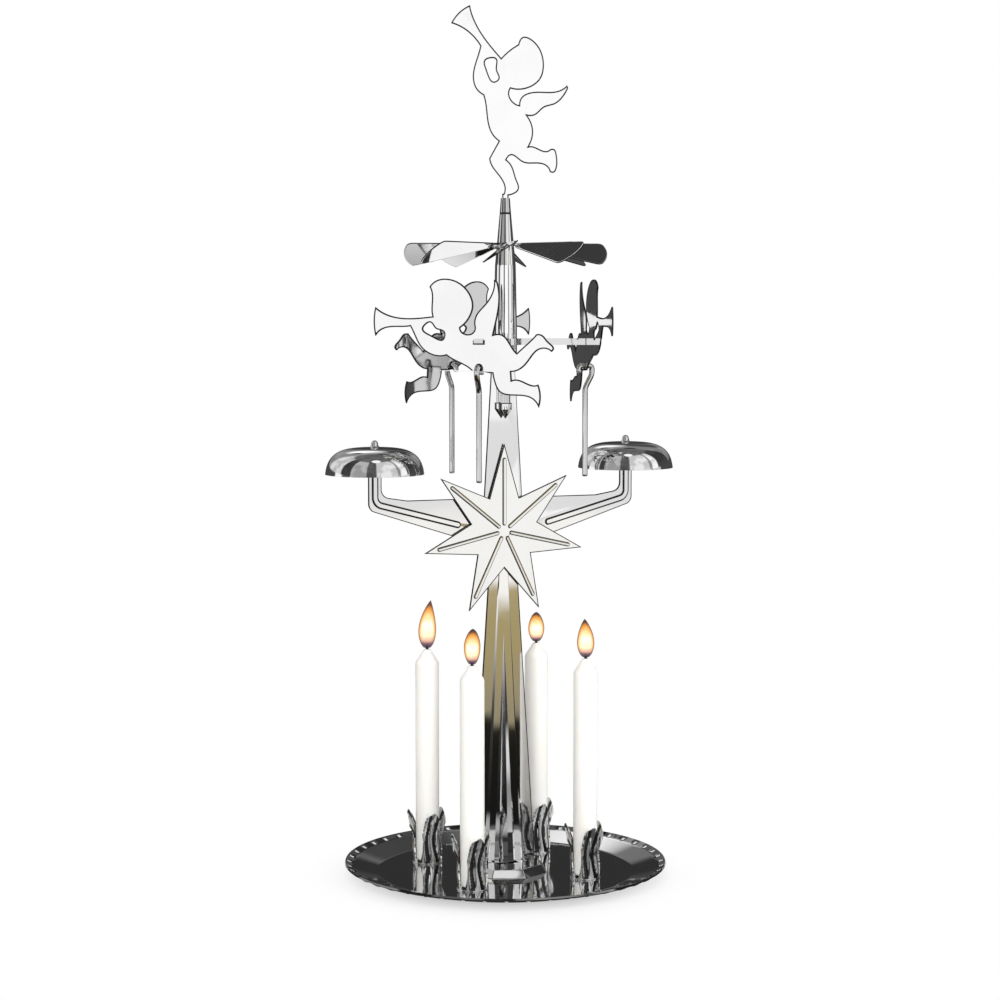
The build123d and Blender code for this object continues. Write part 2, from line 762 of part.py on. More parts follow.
# Top socket: a tapering end piece on the tube, slotted for the top angel
top_angel_plane = Plane(
    (0, 0, top_angel_foot_z),
    x_dir=heading(top_angel_azimuth),
    z_dir=-heading(top_angel_azimuth + 90),
)
slot_floor_z = socket_top_z - socket_slot_depth
with BuildPart() as top_socket:
    with BuildSketch(Plane.XZ):
        with BuildLine():
            spigot_radius = tube_top_radius - tube_wall - fit_gap
            Polyline(
                (0, tube_top_z - socket_spigot),
                (spigot_radius, tube_top_z - socket_spigot),
                (spigot_radius, tube_top_z),
                (tube_top_radius, tube_top_z),
                (socket_top_radius, socket_top_z),
                (0, socket_top_z),
                close=True,
            )
        make_face()
    revolve(axis=Axis.Z)
    with BuildSketch(Plane.XY.offset(slot_floor_z)):
        Rectangle(2 * (top_tab_half + fit_gap), angel_sheet + 2 * fit_gap, rotation=top_angel_azimuth)
    extrude(amount=socket_slot_depth, mode=Mode.SUBTRACT)
top_socket.part.label = "top_socket"
export_step(top_socket.part, "parts/top_socket.step")

# Turbine wheel: a flat hub with blades pitched about their trailing edges
full_angle = radians(2 * wheel_half_angle)
pitch = radians(wheel_pitch)
pitch_scale = 1 / cos(pitch)
lead_corner = (wheel_corner_radius * cos(full_angle), -wheel_corner_radius * sin(full_angle) * pitch_scale)
lead_root = (wheel_root_radius * cos(full_angle), -wheel_root_radius * sin(full_angle) * pitch_scale)
blade_tip = (
    wheel_tip_radius * cos(full_angle / 2),
    -wheel_tip_radius * sin(full_angle / 2) * pitch_scale,
)
neck_radius = wheel_root_radius + wheel_sheet
neck_drop = neck_radius * sin(full_angle / 2) * tan(pitch)
neck_inner_radius = wheel_hub_radius - wheel_neck_width / 2
with BuildPart() as turbine_wheel:
    with BuildSketch(Plane.XY.offset(tube_seat_z - wheel_sheet / 2)):
        Circle(wheel_hub_radius)
        Circle(tube_radius(tube_seat_z - wheel_sheet / 2) + fit_gap, mode=Mode.SUBTRACT)
    extrude(amount=wheel_sheet)
    for blade in range(wheel_blades):
        azimuth = wheel_azimuth + blade * 360 / wheel_blades
        fold = azimuth + wheel_half_angle
        blade_normal = Vector(0, 0, cos(pitch)) - heading(fold + 90) * sin(pitch)
        with BuildSketch(Plane((0, 0, tube_seat_z), x_dir=heading(fold), z_dir=blade_normal)):
            with BuildLine():
                Polyline(
                    lead_corner,
                    lead_root,
                    (wheel_root_radius, 0),
                    (wheel_corner_radius, 0),
                )
                ThreePointArc((wheel_corner_radius, 0), blade_tip, lead_corner)
            make_face()
            corners = vertices().sort_by(Axis.X, reverse=True)[:2]
            fillet(corners, radius=wheel_corner_round)
        extrude(amount=wheel_sheet / 2, both=True)
        with BuildSketch(facing_plane(azimuth, neck_inner_radius, tube_seat_z)) as neck_root:
            Rectangle(wheel_neck_width, wheel_sheet)
        with BuildSketch(facing_plane(azimuth, neck_radius, tube_seat_z)) as neck_end:
            with Locations((0, -neck_drop)):
                Rectangle(wheel_neck_width, wheel_sheet, rotation=wheel_pitch)
        loft()
turbine_wheel.part.label = "turbine_wheel"
export_step(turbine_wheel.part, "parts/turbine_wheel.step")

# Angel carrier: a hub on the tube with three channel arms, each with a tab that hooks into an angel
angel_outer = angel_plane_radius + angel_sheet / 2
angel_inner = angel_plane_radius - angel_sheet / 2
carrier_bottom_z = carrier_z - carrier_height / 2
angel_azimuths = [angel_azimuth + number * 360 / angel_count for number in range(angel_count)]
with BuildPart() as angel_carrier:
    with BuildSketch(Plane.XY.offset(carrier_bottom_z)):
        Circle(carrier_hub_radius)
    extrude(amount=carrier_height)
    for azimuth in angel_azimuths:
        with BuildSketch(facing_plane(azimuth, 0, carrier_z)):
            Rectangle(carrier_width, carrier_height)
        extrude(amount=angel_inner - fit_gap)
        with BuildSketch(facing_plane(azimuth, carrier_hub_radius, carrier_z - carrier_sheet)):
            Rectangle(carrier_width - 2 * carrier_sheet, carrier_height)
        extrude(amount=angel_inner, mode=Mode.SUBTRACT)
        with BuildSketch(facing_plane(azimuth, carrier_hub_radius, carrier_z)):
            Rectangle(carrier_tab_width, carrier_sheet)
        extrude(amount=angel_outer + fit_gap + carrier_sheet - carrier_hub_radius)
        with BuildSketch(facing_plane(azimuth, angel_outer + fit_gap, carrier_z - carrier_sheet / 2)):
            Rectangle(carrier_tab_width, carrier_tab_lip, align=(Align.CENTER, Align.MIN))
        extrude(amount=carrier_sheet)
    with BuildSketch(Plane.XY.offset(carrier_bottom_z)):
        Circle(tube_radius(carrier_bottom_z) + fit_gap)
    extrude(amount=carrier_height, mode=Mode.SUBTRACT)
angel_carrier.part.label = "angel_carrier"
export_step(angel_carrier.part, "parts/angel_carrier.step")

# Turning angels and the striker rods that hang from them
rod_pivot_z = carrier_z - rod_hole_drop
rod_hole_radius = rod_radius + rod_hole_gap
for number, azimuth in enumerate(angel_azimuths, start=1):
    angel_plane = Plane(
        heading(azimuth) * angel_outer + Vector(0, 0, carrier_z),
        x_dir=heading(azimuth - 90),
        z_dir=-heading(azimuth),
    )
    with BuildPart() as angel:
        with BuildSketch(angel_plane):
            with BuildLine():
                draw_outline(turning_angel_strokes)
            make_face()
            with BuildLine():
                Spline(*turning_angel_crook, periodic=True)
            make_face(mode=Mode.SUBTRACT)
            Rectangle(carrier_tab_width + 2 * fit_gap, carrier_sheet + 2 * fit_gap, mode=Mode.SUBTRACT)
            with Locations((0, -rod_hole_drop)):
                Circle(rod_hole_radius, mode=Mode.SUBTRACT)
        extrude(amount=angel_sheet)
    angel.part.label = f"angel_{number}"
    export_step(angel.part, f"parts/angel_{number}.step")
    with BuildPart() as striker_rod:
        with BuildLine(radial_plane(azimuth)) as wire:
            Line((angel_plane_radius, rod_bottom_z), (angel_plane_radius, rod_straight_top_z - rod_bend))
            FilletPolyline(
                (angel_plane_radius, rod_straight_top_z - rod_bend),
                (angel_plane_radius, rod_straight_top_z),
                (angel_plane_radius + rod_bow, rod_jog_z),
                (angel_plane_radius + rod_bow, rod_pivot_z),
                (angel_plane_radius - rod_tail_reach, rod_pivot_z),
                (angel_plane_radius - rod_tail_reach, rod_pivot_z - rod_tail_drop),
                radius=rod_bend,
            )
        with BuildSketch(Plane(wire.line @ 0, z_dir=wire.line % 0)):
            Circle(rod_radius)
        sweep()
    striker_rod.part.label = f"striker_rod_{number}"
    export_step(striker_rod.part, f"parts/striker_rod_{number}.step")

# Top angel: stands on one foot, with a tab in the socket's slot
with BuildPart() as top_angel:
    with BuildSketch(top_angel_plane):
        with BuildLine():
            draw_outline(top_angel_strokes)
        make_face()
        with BuildLine():
            Spline(*top_angel_crook, periodic=True)
        make_face(mode=Mode.SUBTRACT)
        with Locations((0, slot_floor_z + fit_gap - top_angel_foot_z)):
            Rectangle(
                2 * top_tab_half,
                top_angel_foot_z - slot_floor_z - fit_gap + angel_sheet,
                align=(Align.CENTER, Align.MIN),
            )
    extrude(amount=angel_sheet / 2, both=True)
top_angel.part.label = "top_angel"
export_step(top_angel.part, "parts/top_angel.step")
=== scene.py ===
"""Looks of the angel chime carousel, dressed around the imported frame.

Every length is in metres, in the frame's own axes: +Z up, X along the bell arms, -Y the star's side.
"""
import logging
import math
from dataclasses import dataclass
from enum import Enum
from typing import Iterable

import bmesh
import bpy
from bmesh.types import BMesh
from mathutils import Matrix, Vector


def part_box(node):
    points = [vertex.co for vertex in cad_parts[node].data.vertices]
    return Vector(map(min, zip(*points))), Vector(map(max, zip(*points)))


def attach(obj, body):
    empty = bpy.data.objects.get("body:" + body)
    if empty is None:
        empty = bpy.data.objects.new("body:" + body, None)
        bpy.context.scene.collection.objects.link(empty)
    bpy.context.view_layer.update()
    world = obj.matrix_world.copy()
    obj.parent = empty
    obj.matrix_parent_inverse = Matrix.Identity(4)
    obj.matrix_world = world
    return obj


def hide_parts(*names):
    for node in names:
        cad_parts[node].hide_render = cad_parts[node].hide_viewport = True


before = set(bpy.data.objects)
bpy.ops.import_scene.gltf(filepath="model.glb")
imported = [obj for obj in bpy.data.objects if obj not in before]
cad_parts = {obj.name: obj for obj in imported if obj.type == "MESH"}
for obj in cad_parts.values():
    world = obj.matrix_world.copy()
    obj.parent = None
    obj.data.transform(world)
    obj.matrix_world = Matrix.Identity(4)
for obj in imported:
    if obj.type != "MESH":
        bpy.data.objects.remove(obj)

LOG = logging.getLogger("angel_chime")
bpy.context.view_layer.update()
MM = 0.001
FULL_TURN = 2 * math.pi
UP = Vector((0, 0, 1))
# Points closer than this are welded.
WELD = 0.002 * MM
# Faces that meet at less than this angle are joined.
FLAT_ANGLE = math.radians(0.3)
# Where the point beside a rounded corner lies, as a multiple of the rounding.
SUPPORT = 1.25
# Azimuths, in degrees, that the star's side, the three angels and the top angel face.
FRONT = 270.0
ANGEL_AZIMUTHS = (229.0, 349.0, 109.0)
TOP_AZIMUTH = 247.0

Point = tuple[float, float]
Triple = tuple[float, float, float]
Colour = tuple[float, float, float, float]
Stops = Iterable[tuple[float, Colour]]

# Bands of the room: azimuth in degrees, from -180, where each one starts, and its grey.
# The first table is for the horizon, the second for the wall above it.
HORIZON_BANDS = (
    (-180, 0.15),
    (-171, 0.95),
    (-131, 0.06),
    (-119, 1.0),
    (-84, 0.2),
    (-74, 0.93),
    (-48, 0.25),
    (-44, 0.62),
    (-20, 0.06),
    (145, 0.95),
    (167, 0.15),
)
BLOCK_BANDS = (
    (-180, 0.05),
    (-169, 0.42),
    (-129, 0.1),
    (-105, 0.75),
    (-53, 0.3),
    (-45, 0.9),
    (-27, 0.05),
    (21, 0.28),
    (113, 0.65),
    (163, 0.05),
)
# Round cards in the room: azimuth, elevation, spread and blur of the edge, in degrees, and grey.
CARDS = (
    (67, 13.4, 7.0, 1.2, 0.035),
    (58, 31.0, 11.0, 2.0, 0.07),
    (77, 38.0, 6.5, 5.0, 1.2),
    (87, 46.0, 4.0, 1.2, 0.04),
    (56, 61.0, 5.0, 1.2, 0.04),
    (-103, 66.0, 8.0, 1.2, 0.95),
)
# Sectors of the floor's painted reflection: azimuth where each one starts, and how much of the sector's
# colour it has.
WARM_SECTOR = ((-180, 0.0), (-97, 1.0), (-38, 0.0))
BACK_SECTOR = ((-180, 0.0), (-12, 1.0), (140, 0.0))
# Painted reflection on the floor, a glow that only glossy rays see: distance from the middle as a share of
# the studio's gradient_reach, and colour.
WARM_FLOOR_STOPS = (
    (0.03, (0.05, 0.05, 0.05, 1.0)),
    (0.04, (0.008, 0.008, 0.008, 1.0)),
    (0.152, (0.012, 0.011, 0.008, 1.0)),
    (0.165, (0.3, 0.26, 0.17, 1.0)),
    (0.28, (0.37, 0.3, 0.145, 1.0)),
    (0.42, (0.39, 0.315, 0.15, 1.0)),
    (0.455, (0.95, 0.93, 0.89, 1.0)),
    (0.72, (0.93, 0.91, 0.88, 1.0)),
    (0.8, (0.74, 0.74, 0.74, 1.0)),
    (1.0, (0.74, 0.74, 0.74, 1.0)),
)
PLAIN_FLOOR_STOPS = (
    (0.046, (0.04, 0.04, 0.04, 1.0)),
    (0.054, (0.4, 0.4, 0.4, 1.0)),
    (0.067, (0.4, 0.4, 0.4, 1.0)),
    (0.08, (0.008, 0.008, 0.008, 1.0)),
    (0.3, (0.05, 0.05, 0.05, 1.0)),
    (0.5, (0.35, 0.35, 0.35, 1.0)),
    (0.8, (0.8, 0.8, 0.8, 1.0)),
    (1.0, (0.9, 0.9, 0.9, 1.0)),
)
BACK_FLOOR_STOPS = (
    (0.04, (0.9, 0.9, 0.9, 1.0)),
    (0.054, (0.4, 0.4, 0.4, 1.0)),
    (0.1, (0.36, 0.36, 0.36, 1.0)),
    (0.128, (0.9, 0.9, 0.9, 1.0)),
    (0.17, (0.95, 0.95, 0.95, 1.0)),
    (0.21, (0.04, 0.04, 0.04, 1.0)),
    (1.0, (0.05, 0.05, 0.05, 1.0)),
)
# Glow of the layers of a flame: share of its height, and colour.
FLAME_EDGE = (
    (0.0, (0.03, 0.02, 0.03, 1.0)),
    (0.08, (0.1, 0.05, 0.05, 1.0)),
    (0.2, (0.34, 0.13, 0.03, 1.0)),
    (0.5, (0.36, 0.12, 0.012, 1.0)),
    (0.75, (0.24, 0.07, 0.006, 1.0)),
    (0.9, (0.07, 0.017, 0.003, 1.0)),
    (1.0, (0.015, 0.004, 0.002, 1.0)),
)
FLAME_MANTLE = (
    (0.0, (0.03, 0.02, 0.04, 1.0)),
    (0.07, (0.1, 0.06, 0.09, 1.0)),
    (0.15, (0.6, 0.34, 0.2, 1.0)),
    (0.3, (1.0, 0.62, 0.24, 1.0)),
    (0.6, (1.0, 0.55, 0.15, 1.0)),
    (0.78, (0.8, 0.33, 0.06, 1.0)),
    (0.92, (0.12, 0.03, 0.006, 1.0)),
    (1.0, (0.03, 0.01, 0.004, 1.0)),
)
FLAME_HEART = (
    (0.0, (0.03, 0.02, 0.05, 1.0)),
    (0.09, (0.08, 0.05, 0.1, 1.0)),
    (0.17, (0.5, 0.38, 0.34, 1.0)),
    (0.27, (0.7, 0.78, 0.6, 1.0)),
    (0.48, (0.64, 0.84, 0.92, 1.0)),
    (0.66, (0.7, 0.62, 0.36, 1.0)),
    (0.82, (0.66, 0.3, 0.07, 1.0)),
    (1.0, (0.2, 0.06, 0.01, 1.0)),
)
# Layers of a flame: share of its radius, start and end as shares of its height, glow, cover, strength.
FLAME_LAYERS = (
    (1.0, 0.0, 1.0, FLAME_EDGE, 0.72, 1.0),
    (0.9, 0.02, 0.96, FLAME_MANTLE, 0.4, 4.0),
    (0.77, 0.04, 0.9, FLAME_HEART, 0.35, 6.0),
    (0.63, 0.06, 0.82, FLAME_HEART, 0.35, 6.0),
    (0.48, 0.08, 0.74, FLAME_HEART, 0.4, 6.0),
    (0.32, 0.1, 0.64, FLAME_HEART, 0.6, 6.0),
)
# Wall of the rotor tube: radius, and height above its foot, of each corner, in millimetres.
TUBE_OUTLINE = (
    (3.5, 0.0),
    (3.95, 0.0),
    (3.95, 8.0),
    (3.52, 29.7),
    (2.85, 37.0),
    (1.9, 47.5),
    (1.45, 47.5),
    (2.4, 37.0),
    (3.07, 29.7),
    (3.5, 8.0),
    (3.5, 0.0),
)


class Slot(Enum):
    """Material slots of the record."""

    CHROME = "chrome"
    WAX = "candle_wax"
    WICK = "wick"


class Face(Enum):
    """Material slots of a plated piece: polished faces, faces painted dark as shade, and dents with a
    painted highlight.
    """

    POLISHED = 0
    PAINTED_SHADE = 1
    PAINTED_HIGHLIGHT = 2


def link_nodes(tree: bpy.types.NodeTree, pairs: Iterable[tuple]) -> None:
    """Join pairs of sockets.

    Args:
        tree: The node tree that holds them.
        pairs: Output and input sockets.
    """
    for source, target in pairs:
        tree.links.new(source, target)


def add_node(
    tree: bpy.types.NodeTree, kind: str, values: dict[str | int, object] | None = None, **settings: object
) -> bpy.types.Node:
    """Add a shader node.

    Args:
        tree: The node tree.
        kind: Type of the node, without the prefix of shader nodes.
        values: Values of its inputs, by name or by number.
        settings: Its own settings, which are made first.

    Returns:
        The new node.
    """
    node = tree.nodes.new(f"ShaderNode{kind}")
    for name, setting in settings.items():
        setattr(node, name, setting)
    for key, value in (values or {}).items():
        node.inputs[key].default_value = value
    return node


def add_range(
    tree: bpy.types.NodeTree,
    start: float,
    end: float,
    low: float = 0.0,
    high: float = 1.0,
    **settings: object,
) -> bpy.types.Node:
    """Add a node that maps one range to another.

    Args:
        tree: The node tree.
        start: Value that gives the first result.
        end: Value that gives the last result.
        low: The first result.
        high: The last result.
        settings: The node's own settings.

    Returns:
        The new node.
    """
    values = {"From Min": start, "From Max": end, "To Min": low, "To Max": high}
    return add_node(tree, "MapRange", values, **settings)


def add_ramp(tree: bpy.types.NodeTree, stops: Stops, smooth: str = "LINEAR") -> bpy.types.Node:
    """Add a colour ramp.

    Args:
        tree: The node tree.
        stops: Place and colour of each stop, in order.
        smooth: How the ramp runs between them.

    Returns:
        The ramp's node.
    """
    node = add_node(tree, "ValToRGB")
    ramp = node.color_ramp
    stops = list(stops)
    ramp.interpolation = smooth
    while len(ramp.elements) < len(stops):
        ramp.elements.new(1.0)
    for element, (at, colour) in zip(ramp.elements, stops):
        element.position = at
        element.color = colour
    return node


def add_bearing(
    tree: bpy.types.NodeTree, direction: bpy.types.NodeSocket
) -> tuple[bpy.types.NodeSocket, bpy.types.NodeSocket]:
    """Split a direction into its azimuth and its height.

    Args:
        tree: The node tree.
        direction: The direction.

    Returns:
        Its azimuth as a share of the turn from -180 to 180 degrees, and its Z.
    """
    split = add_node(tree, "SeparateXYZ")
    azimuth = add_node(tree, "Math", operation="ARCTAN2")
    turn = add_range(tree, -math.pi, math.pi)
    link_nodes(tree, (
        (direction, split.inputs["Vector"]),
        (split.outputs["Y"], azimuth.inputs[0]),
        (split.outputs["X"], azimuth.inputs[1]),
        (azimuth.outputs["Value"], turn.inputs["Value"]),
    ))
    return turn.outputs["Result"], split.outputs["Z"]


def grey(value: float) -> Colour:
    """An opaque grey."""
    return (value, value, value, 1.0)


def bearing_stops(bands: Iterable[Point], blur: float = 2.0) -> Stops:
    """Turn bands round the horizon into the stops of a ramp.

    Args:
        bands: Azimuth in degrees, from -180, at which each band starts, and its grey.
        blur: Width of the change between bands, in degrees.

    Returns:
        The stops, over the whole turn from -180 to 180 degrees.
    """
    stops = []
    last = None
    for start, value in bands:
        if last is not None:
            stops.append(((start - blur / 2 + 180) / 360, grey(last)))
        stops.append(((start + blur / 2 + 180) / 360, grey(value)))
        last = value
    return stops


def new_material(name: str) -> tuple[bpy.types.Material, bpy.types.NodeTree, bpy.types.Node]:
    """Start a node material.

    Args:
        name: The material's name.

    Returns:
        The material, its node tree and its Principled shader.
    """
    material = bpy.data.materials.new(name)
    material.use_nodes = True
    tree = material.node_tree
    return material, tree, tree.nodes["Principled BSDF"]


@dataclass(frozen=True)
class HandlingMarks:
    """Shared shader group: smears, hairline scratches and the slow ripple of pressed sheet.

    Attributes:
        name: Name of the group.
        smear_detail: Octaves of the smears.
        smear_roughness: Weight of their finer octaves.
        smear_range: Noise where a smear starts and where it is full.
        ripple_detail: Octaves of the ripple.
        scratch_turn: Turn of the hairlines about each axis, in radians.
        scratch_stretch: Scale that draws the noise out into hairlines.
        scratch_detail: Octaves of the hairlines.
        scratch_range: Noise where a hairline starts and where it is full.
    """

    name: str = "handling_marks"
    smear_detail: float = 5.0
    smear_roughness: float = 0.62
    smear_range: Point = (0.42, 0.74)
    ripple_detail: float = 1.0
    scratch_turn: Triple = (0.4, 0.7, 0.5)
    scratch_stretch: Triple = (1.0, 1.0, 0.04)
    scratch_detail: float = 2.0
    scratch_range: Point = (0.64, 0.72)

    def build(self) -> bpy.types.NodeTree:
        """Make the group once and return it on every later call.

        Returns:
            The shader node group.
        """
        if self.name in bpy.data.node_groups:
            return bpy.data.node_groups[self.name]
        tree = bpy.data.node_groups.new(self.name, "ShaderNodeTree")
        socket = tree.interface.new_socket
        socket("Vector", in_out="INPUT", socket_type="NodeSocketVector")
        for name in ("Smear Scale", "Scratch Scale", "Ripple Scale", "Low Roughness", "High Roughness"):
            socket(name, in_out="INPUT", socket_type="NodeSocketFloat")
        for name in ("Roughness", "Smear", "Ripple", "Scratch"):
            socket(name, in_out="OUTPUT", socket_type="NodeSocketFloat")
        entry = tree.nodes.new("NodeGroupInput")
        leave = tree.nodes.new("NodeGroupOutput")
        smear = add_node(tree, "TexNoise", {"Detail": self.smear_detail, "Roughness": self.smear_roughness})
        ripple = add_node(tree, "TexNoise", {"Detail": self.ripple_detail})
        stretch = add_node(tree, "Mapping", {"Rotation": self.scratch_turn, "Scale": self.scratch_stretch})
        scratch = add_node(tree, "TexNoise", {"Detail": self.scratch_detail})
        hairline = add_range(tree, *self.scratch_range)
        spread = add_range(tree, *self.smear_range)
        rub = add_node(tree, "MapRange")
        link_nodes(tree, (
            (entry.outputs["Vector"], smear.inputs["Vector"]),
            (entry.outputs["Vector"], ripple.inputs["Vector"]),
            (entry.outputs["Vector"], stretch.inputs["Vector"]),
            (stretch.outputs["Vector"], scratch.inputs["Vector"]),
            (entry.outputs["Smear Scale"], smear.inputs["Scale"]),
            (entry.outputs["Ripple Scale"], ripple.inputs["Scale"]),
            (entry.outputs["Scratch Scale"], scratch.inputs["Scale"]),
            (smear.outputs["Fac"], spread.inputs["Value"]),
            (scratch.outputs["Fac"], hairline.inputs["Value"]),
            (spread.outputs["Result"], rub.inputs["Value"]),
            (entry.outputs["Low Roughness"], rub.inputs["To Min"]),
            (entry.outputs["High Roughness"], rub.inputs["To Max"]),
            (rub.outputs["Result"], leave.inputs["Roughness"]),
            (spread.outputs["Result"], leave.inputs["Smear"]),
            (ripple.outputs["Fac"], leave.inputs["Ripple"]),
            (hairline.outputs["Result"], leave.inputs["Scratch"]),
        ))
        return tree


@dataclass(frozen=True)
class Plating:
    """Polished plated sheet.

    Attributes:
        name: Name of the material.
        colour: Reflected tint of clean plating.
        smear_and_painted_light: Reflected tint where it is smeared, which on the clips is dark enough to
            paint shade.
        low_roughness: Roughness of clean plating.
        high_roughness: Roughness of smeared plating.
        smear_scale: Smears per metre.
        scratch_scale: Hairlines per metre.
        scratch_depth: Depth of the hairlines.
        scratch_strength: How much of that depth shows.
        ripple_scale: Ripples of the sheet per metre.
        ripple_depth: Depth of the ripples.
        lean: Slope by which the pressed face leans back.
        metallic: How much of it is bare metal.
    """

    name: str
    colour: Colour
    smear_and_painted_light: Colour
    low_roughness: float = 0.03
    high_roughness: float = 0.09
    smear_scale: float = 60.0
    scratch_scale: float = 900.0
    scratch_depth: float = 0.004 * MM
    scratch_strength: float = 0.35
    ripple_scale: float = 55.0
    ripple_depth: float = 0.03 * MM
    lean: float = 0.0
    metallic: float = 1.0

    def material(self) -> bpy.types.Material:
        """Build the material.

        Returns:
            A metallic material with smears, hairlines and a slight ripple.
        """
        material, tree, shader = new_material(self.name)
        shader.inputs["Metallic"].default_value = self.metallic
        place = add_node(tree, "TexCoord")
        marks = add_node(tree, "Group", {
            "Smear Scale": self.smear_scale,
            "Scratch Scale": self.scratch_scale,
            "Ripple Scale": self.ripple_scale,
            "Low Roughness": self.low_roughness,
            "High Roughness": self.high_roughness,
        }, node_tree=HandlingMarks().build())
        tint = add_node(tree, "Mix", {"A": self.colour, "B": self.smear_and_painted_light}, data_type="RGBA")
        ripple = add_node(tree, "Bump", {"Distance": self.ripple_depth})
        scratch = add_node(
            tree, "Bump", {"Distance": self.scratch_depth, "Strength": self.scratch_strength}, invert=True
        )
        link_nodes(tree, (
            (place.outputs["Object"], marks.inputs["Vector"]),
            (marks.outputs["Smear"], tint.inputs["Factor"]),
            (tint.outputs["Result"], shader.inputs["Base Color"]),
            (marks.outputs["Roughness"], shader.inputs["Roughness"]),
            (marks.outputs["Ripple"], ripple.inputs["Height"]),
            (marks.outputs["Scratch"], scratch.inputs["Height"]),
            (ripple.outputs["Normal"], scratch.inputs["Normal"]),
            (scratch.outputs["Normal"], shader.inputs["Normal"]),
        ))
        if self.lean:
            split = add_node(tree, "SeparateXYZ")
            slope = add_node(tree, "Bump", {"Distance": self.lean}, invert=True)
            link_nodes(tree, (
                (place.outputs["Object"], split.inputs["Vector"]),
                (split.outputs["Z"], slope.inputs["Height"]),
                (slope.outputs["Normal"], ripple.inputs["Normal"]),
            ))
        return material


@dataclass(frozen=True)
class Wax:
    """White candle wax that lets a little light in.

    Attributes:
        name: Name of the material.
        colour: Colour of clean wax.
        warm: Colour of the thinner, softened wax.
        roughness: Its roughness.
        inner_weight: Share of the light that goes in.
        inner_radius: How far red, green and blue light spread inside, as shares of inner_scale.
        inner_scale: Length of the widest spread.
        grain_scale: Grains of the cast surface per metre.
        grain_detail: Octaves of the grain.
        grain_depth: Depth of the grain.
        grain_strength: How much of that depth shows.
        cloud_width: Width of the clouds of softened wax, in grains.
    """

    name: str = "white_wax"
    colour: Colour = (0.92, 0.915, 0.9, 1.0)
    warm: Colour = (0.9, 0.87, 0.8, 1.0)
    roughness: float = 0.42
    inner_weight: float = 0.25
    inner_radius: Triple = (1.0, 0.7, 0.45)
    inner_scale: float = 2.0 * MM
    grain_scale: float = 260.0
    grain_detail: float = 3.0
    grain_depth: float = 0.04 * MM
    grain_strength: float = 0.4
    cloud_width: float = 6.0

    def material(self) -> bpy.types.Material:
        """Build the material.

        Returns:
            A soft white material with a faint cast grain.
        """
        material, tree, shader = new_material(self.name)
        shader.inputs["Roughness"].default_value = self.roughness
        shader.inputs["Subsurface Weight"].default_value = self.inner_weight
        shader.inputs["Subsurface Radius"].default_value = self.inner_radius
        shader.inputs["Subsurface Scale"].default_value = self.inner_scale
        place = add_node(tree, "TexCoord")
        grain = add_node(tree, "TexNoise", {"Scale": self.grain_scale, "Detail": self.grain_detail})
        cloud = add_node(tree, "TexNoise", {"Scale": self.grain_scale / self.cloud_width})
        tint = add_node(tree, "Mix", {"A": self.colour, "B": self.warm}, data_type="RGBA")
        bump = add_node(tree, "Bump", {"Distance": self.grain_depth, "Strength": self.grain_strength})
        link_nodes(tree, (
            (place.outputs["Object"], grain.inputs["Vector"]),
            (place.outputs["Object"], cloud.inputs["Vector"]),
            (cloud.outputs["Fac"], tint.inputs["Factor"]),
            (tint.outputs["Result"], shader.inputs["Base Color"]),
            (grain.outputs["Fac"], bump.inputs["Height"]),
            (bump.outputs["Normal"], shader.inputs["Normal"]),
        ))
        return material


@dataclass(frozen=True)
class CharredCotton:
    """Burnt, twisted wick.

    Attributes:
        name: Name of the material.
        ash: Colour of the raised strands.
        char: Colour between the strands.
        roughness: Its roughness.
        twist_scale: Strands per metre.
        twist_wander: How far the strands wander.
        twist_depth: Depth between the strands.
    """

    name: str = "charred_cotton"
    ash: Colour = (0.12, 0.1, 0.085, 1.0)
    char: Colour = (0.012, 0.01, 0.01, 1.0)
    roughness: float = 0.9
    twist_scale: float = 1400.0
    twist_wander: float = 2.0
    twist_depth: float = 0.1 * MM

    def material(self) -> bpy.types.Material:
        """Build the material.

        Returns:
            A matt material banded like twisted cotton.
        """
        material, tree, shader = new_material(self.name)
        shader.inputs["Roughness"].default_value = self.roughness
        place = add_node(tree, "TexCoord")
        twist = add_node(
            tree, "TexWave", {"Scale": self.twist_scale, "Distortion": self.twist_wander},
            bands_direction="DIAGONAL",
        )
        tint = add_node(tree, "Mix", {"A": self.char, "B": self.ash}, data_type="RGBA")
        bump = add_node(tree, "Bump", {"Distance": self.twist_depth})
        link_nodes(tree, (
            (place.outputs["Object"], twist.inputs["Vector"]),
            (twist.outputs["Fac"], tint.inputs["Factor"]),
            (tint.outputs["Result"], shader.inputs["Base Color"]),
            (twist.outputs["Fac"], bump.inputs["Height"]),
            (bump.outputs["Normal"], shader.inputs["Normal"]),
        ))
        return material


@dataclass(frozen=True)
class FlameGlow:
    """Glow of one layer of a candle flame, from its foot to its tip.

    Attributes:
        name: Name of the material.
        stops: Place, from foot to tip, and colour of each stop of its glow.
        cover: How much of what lies behind it the layer hides.
        strength: Strength of its glow.
        foot_z: Height of the flame's foot.
        height: Height of the flame.
    """

    name: str
    stops: Stops
    cover: float
    strength: float
    foot_z: float
    height: float

    def material(self) -> bpy.types.Material:
        """Build the material.

        Returns:
            A glowing material that runs through the stops with height.
        """
        material, tree, shader = new_material(self.name)
        shader.inputs["Base Color"].default_value = grey(0.0)
        shader.inputs["Roughness"].default_value = 1.0
        shader.inputs["Specular IOR Level"].default_value = 0.0
        shader.inputs["Emission Strength"].default_value = self.strength
        shader.inputs["Alpha"].default_value = self.cover
        place = add_node(tree, "TexCoord")
        split = add_node(tree, "SeparateXYZ")
        along = add_range(tree, self.foot_z, self.foot_z + self.height)
        glow = add_ramp(tree, self.stops, "EASE")
        link_nodes(tree, (
            (place.outputs["Object"], split.inputs["Vector"]),
            (split.outputs["Z"], along.inputs["Value"]),
            (along.outputs["Result"], glow.inputs["Fac"]),
            (glow.outputs["Color"], shader.inputs["Emission Color"]),
        ))
        return material


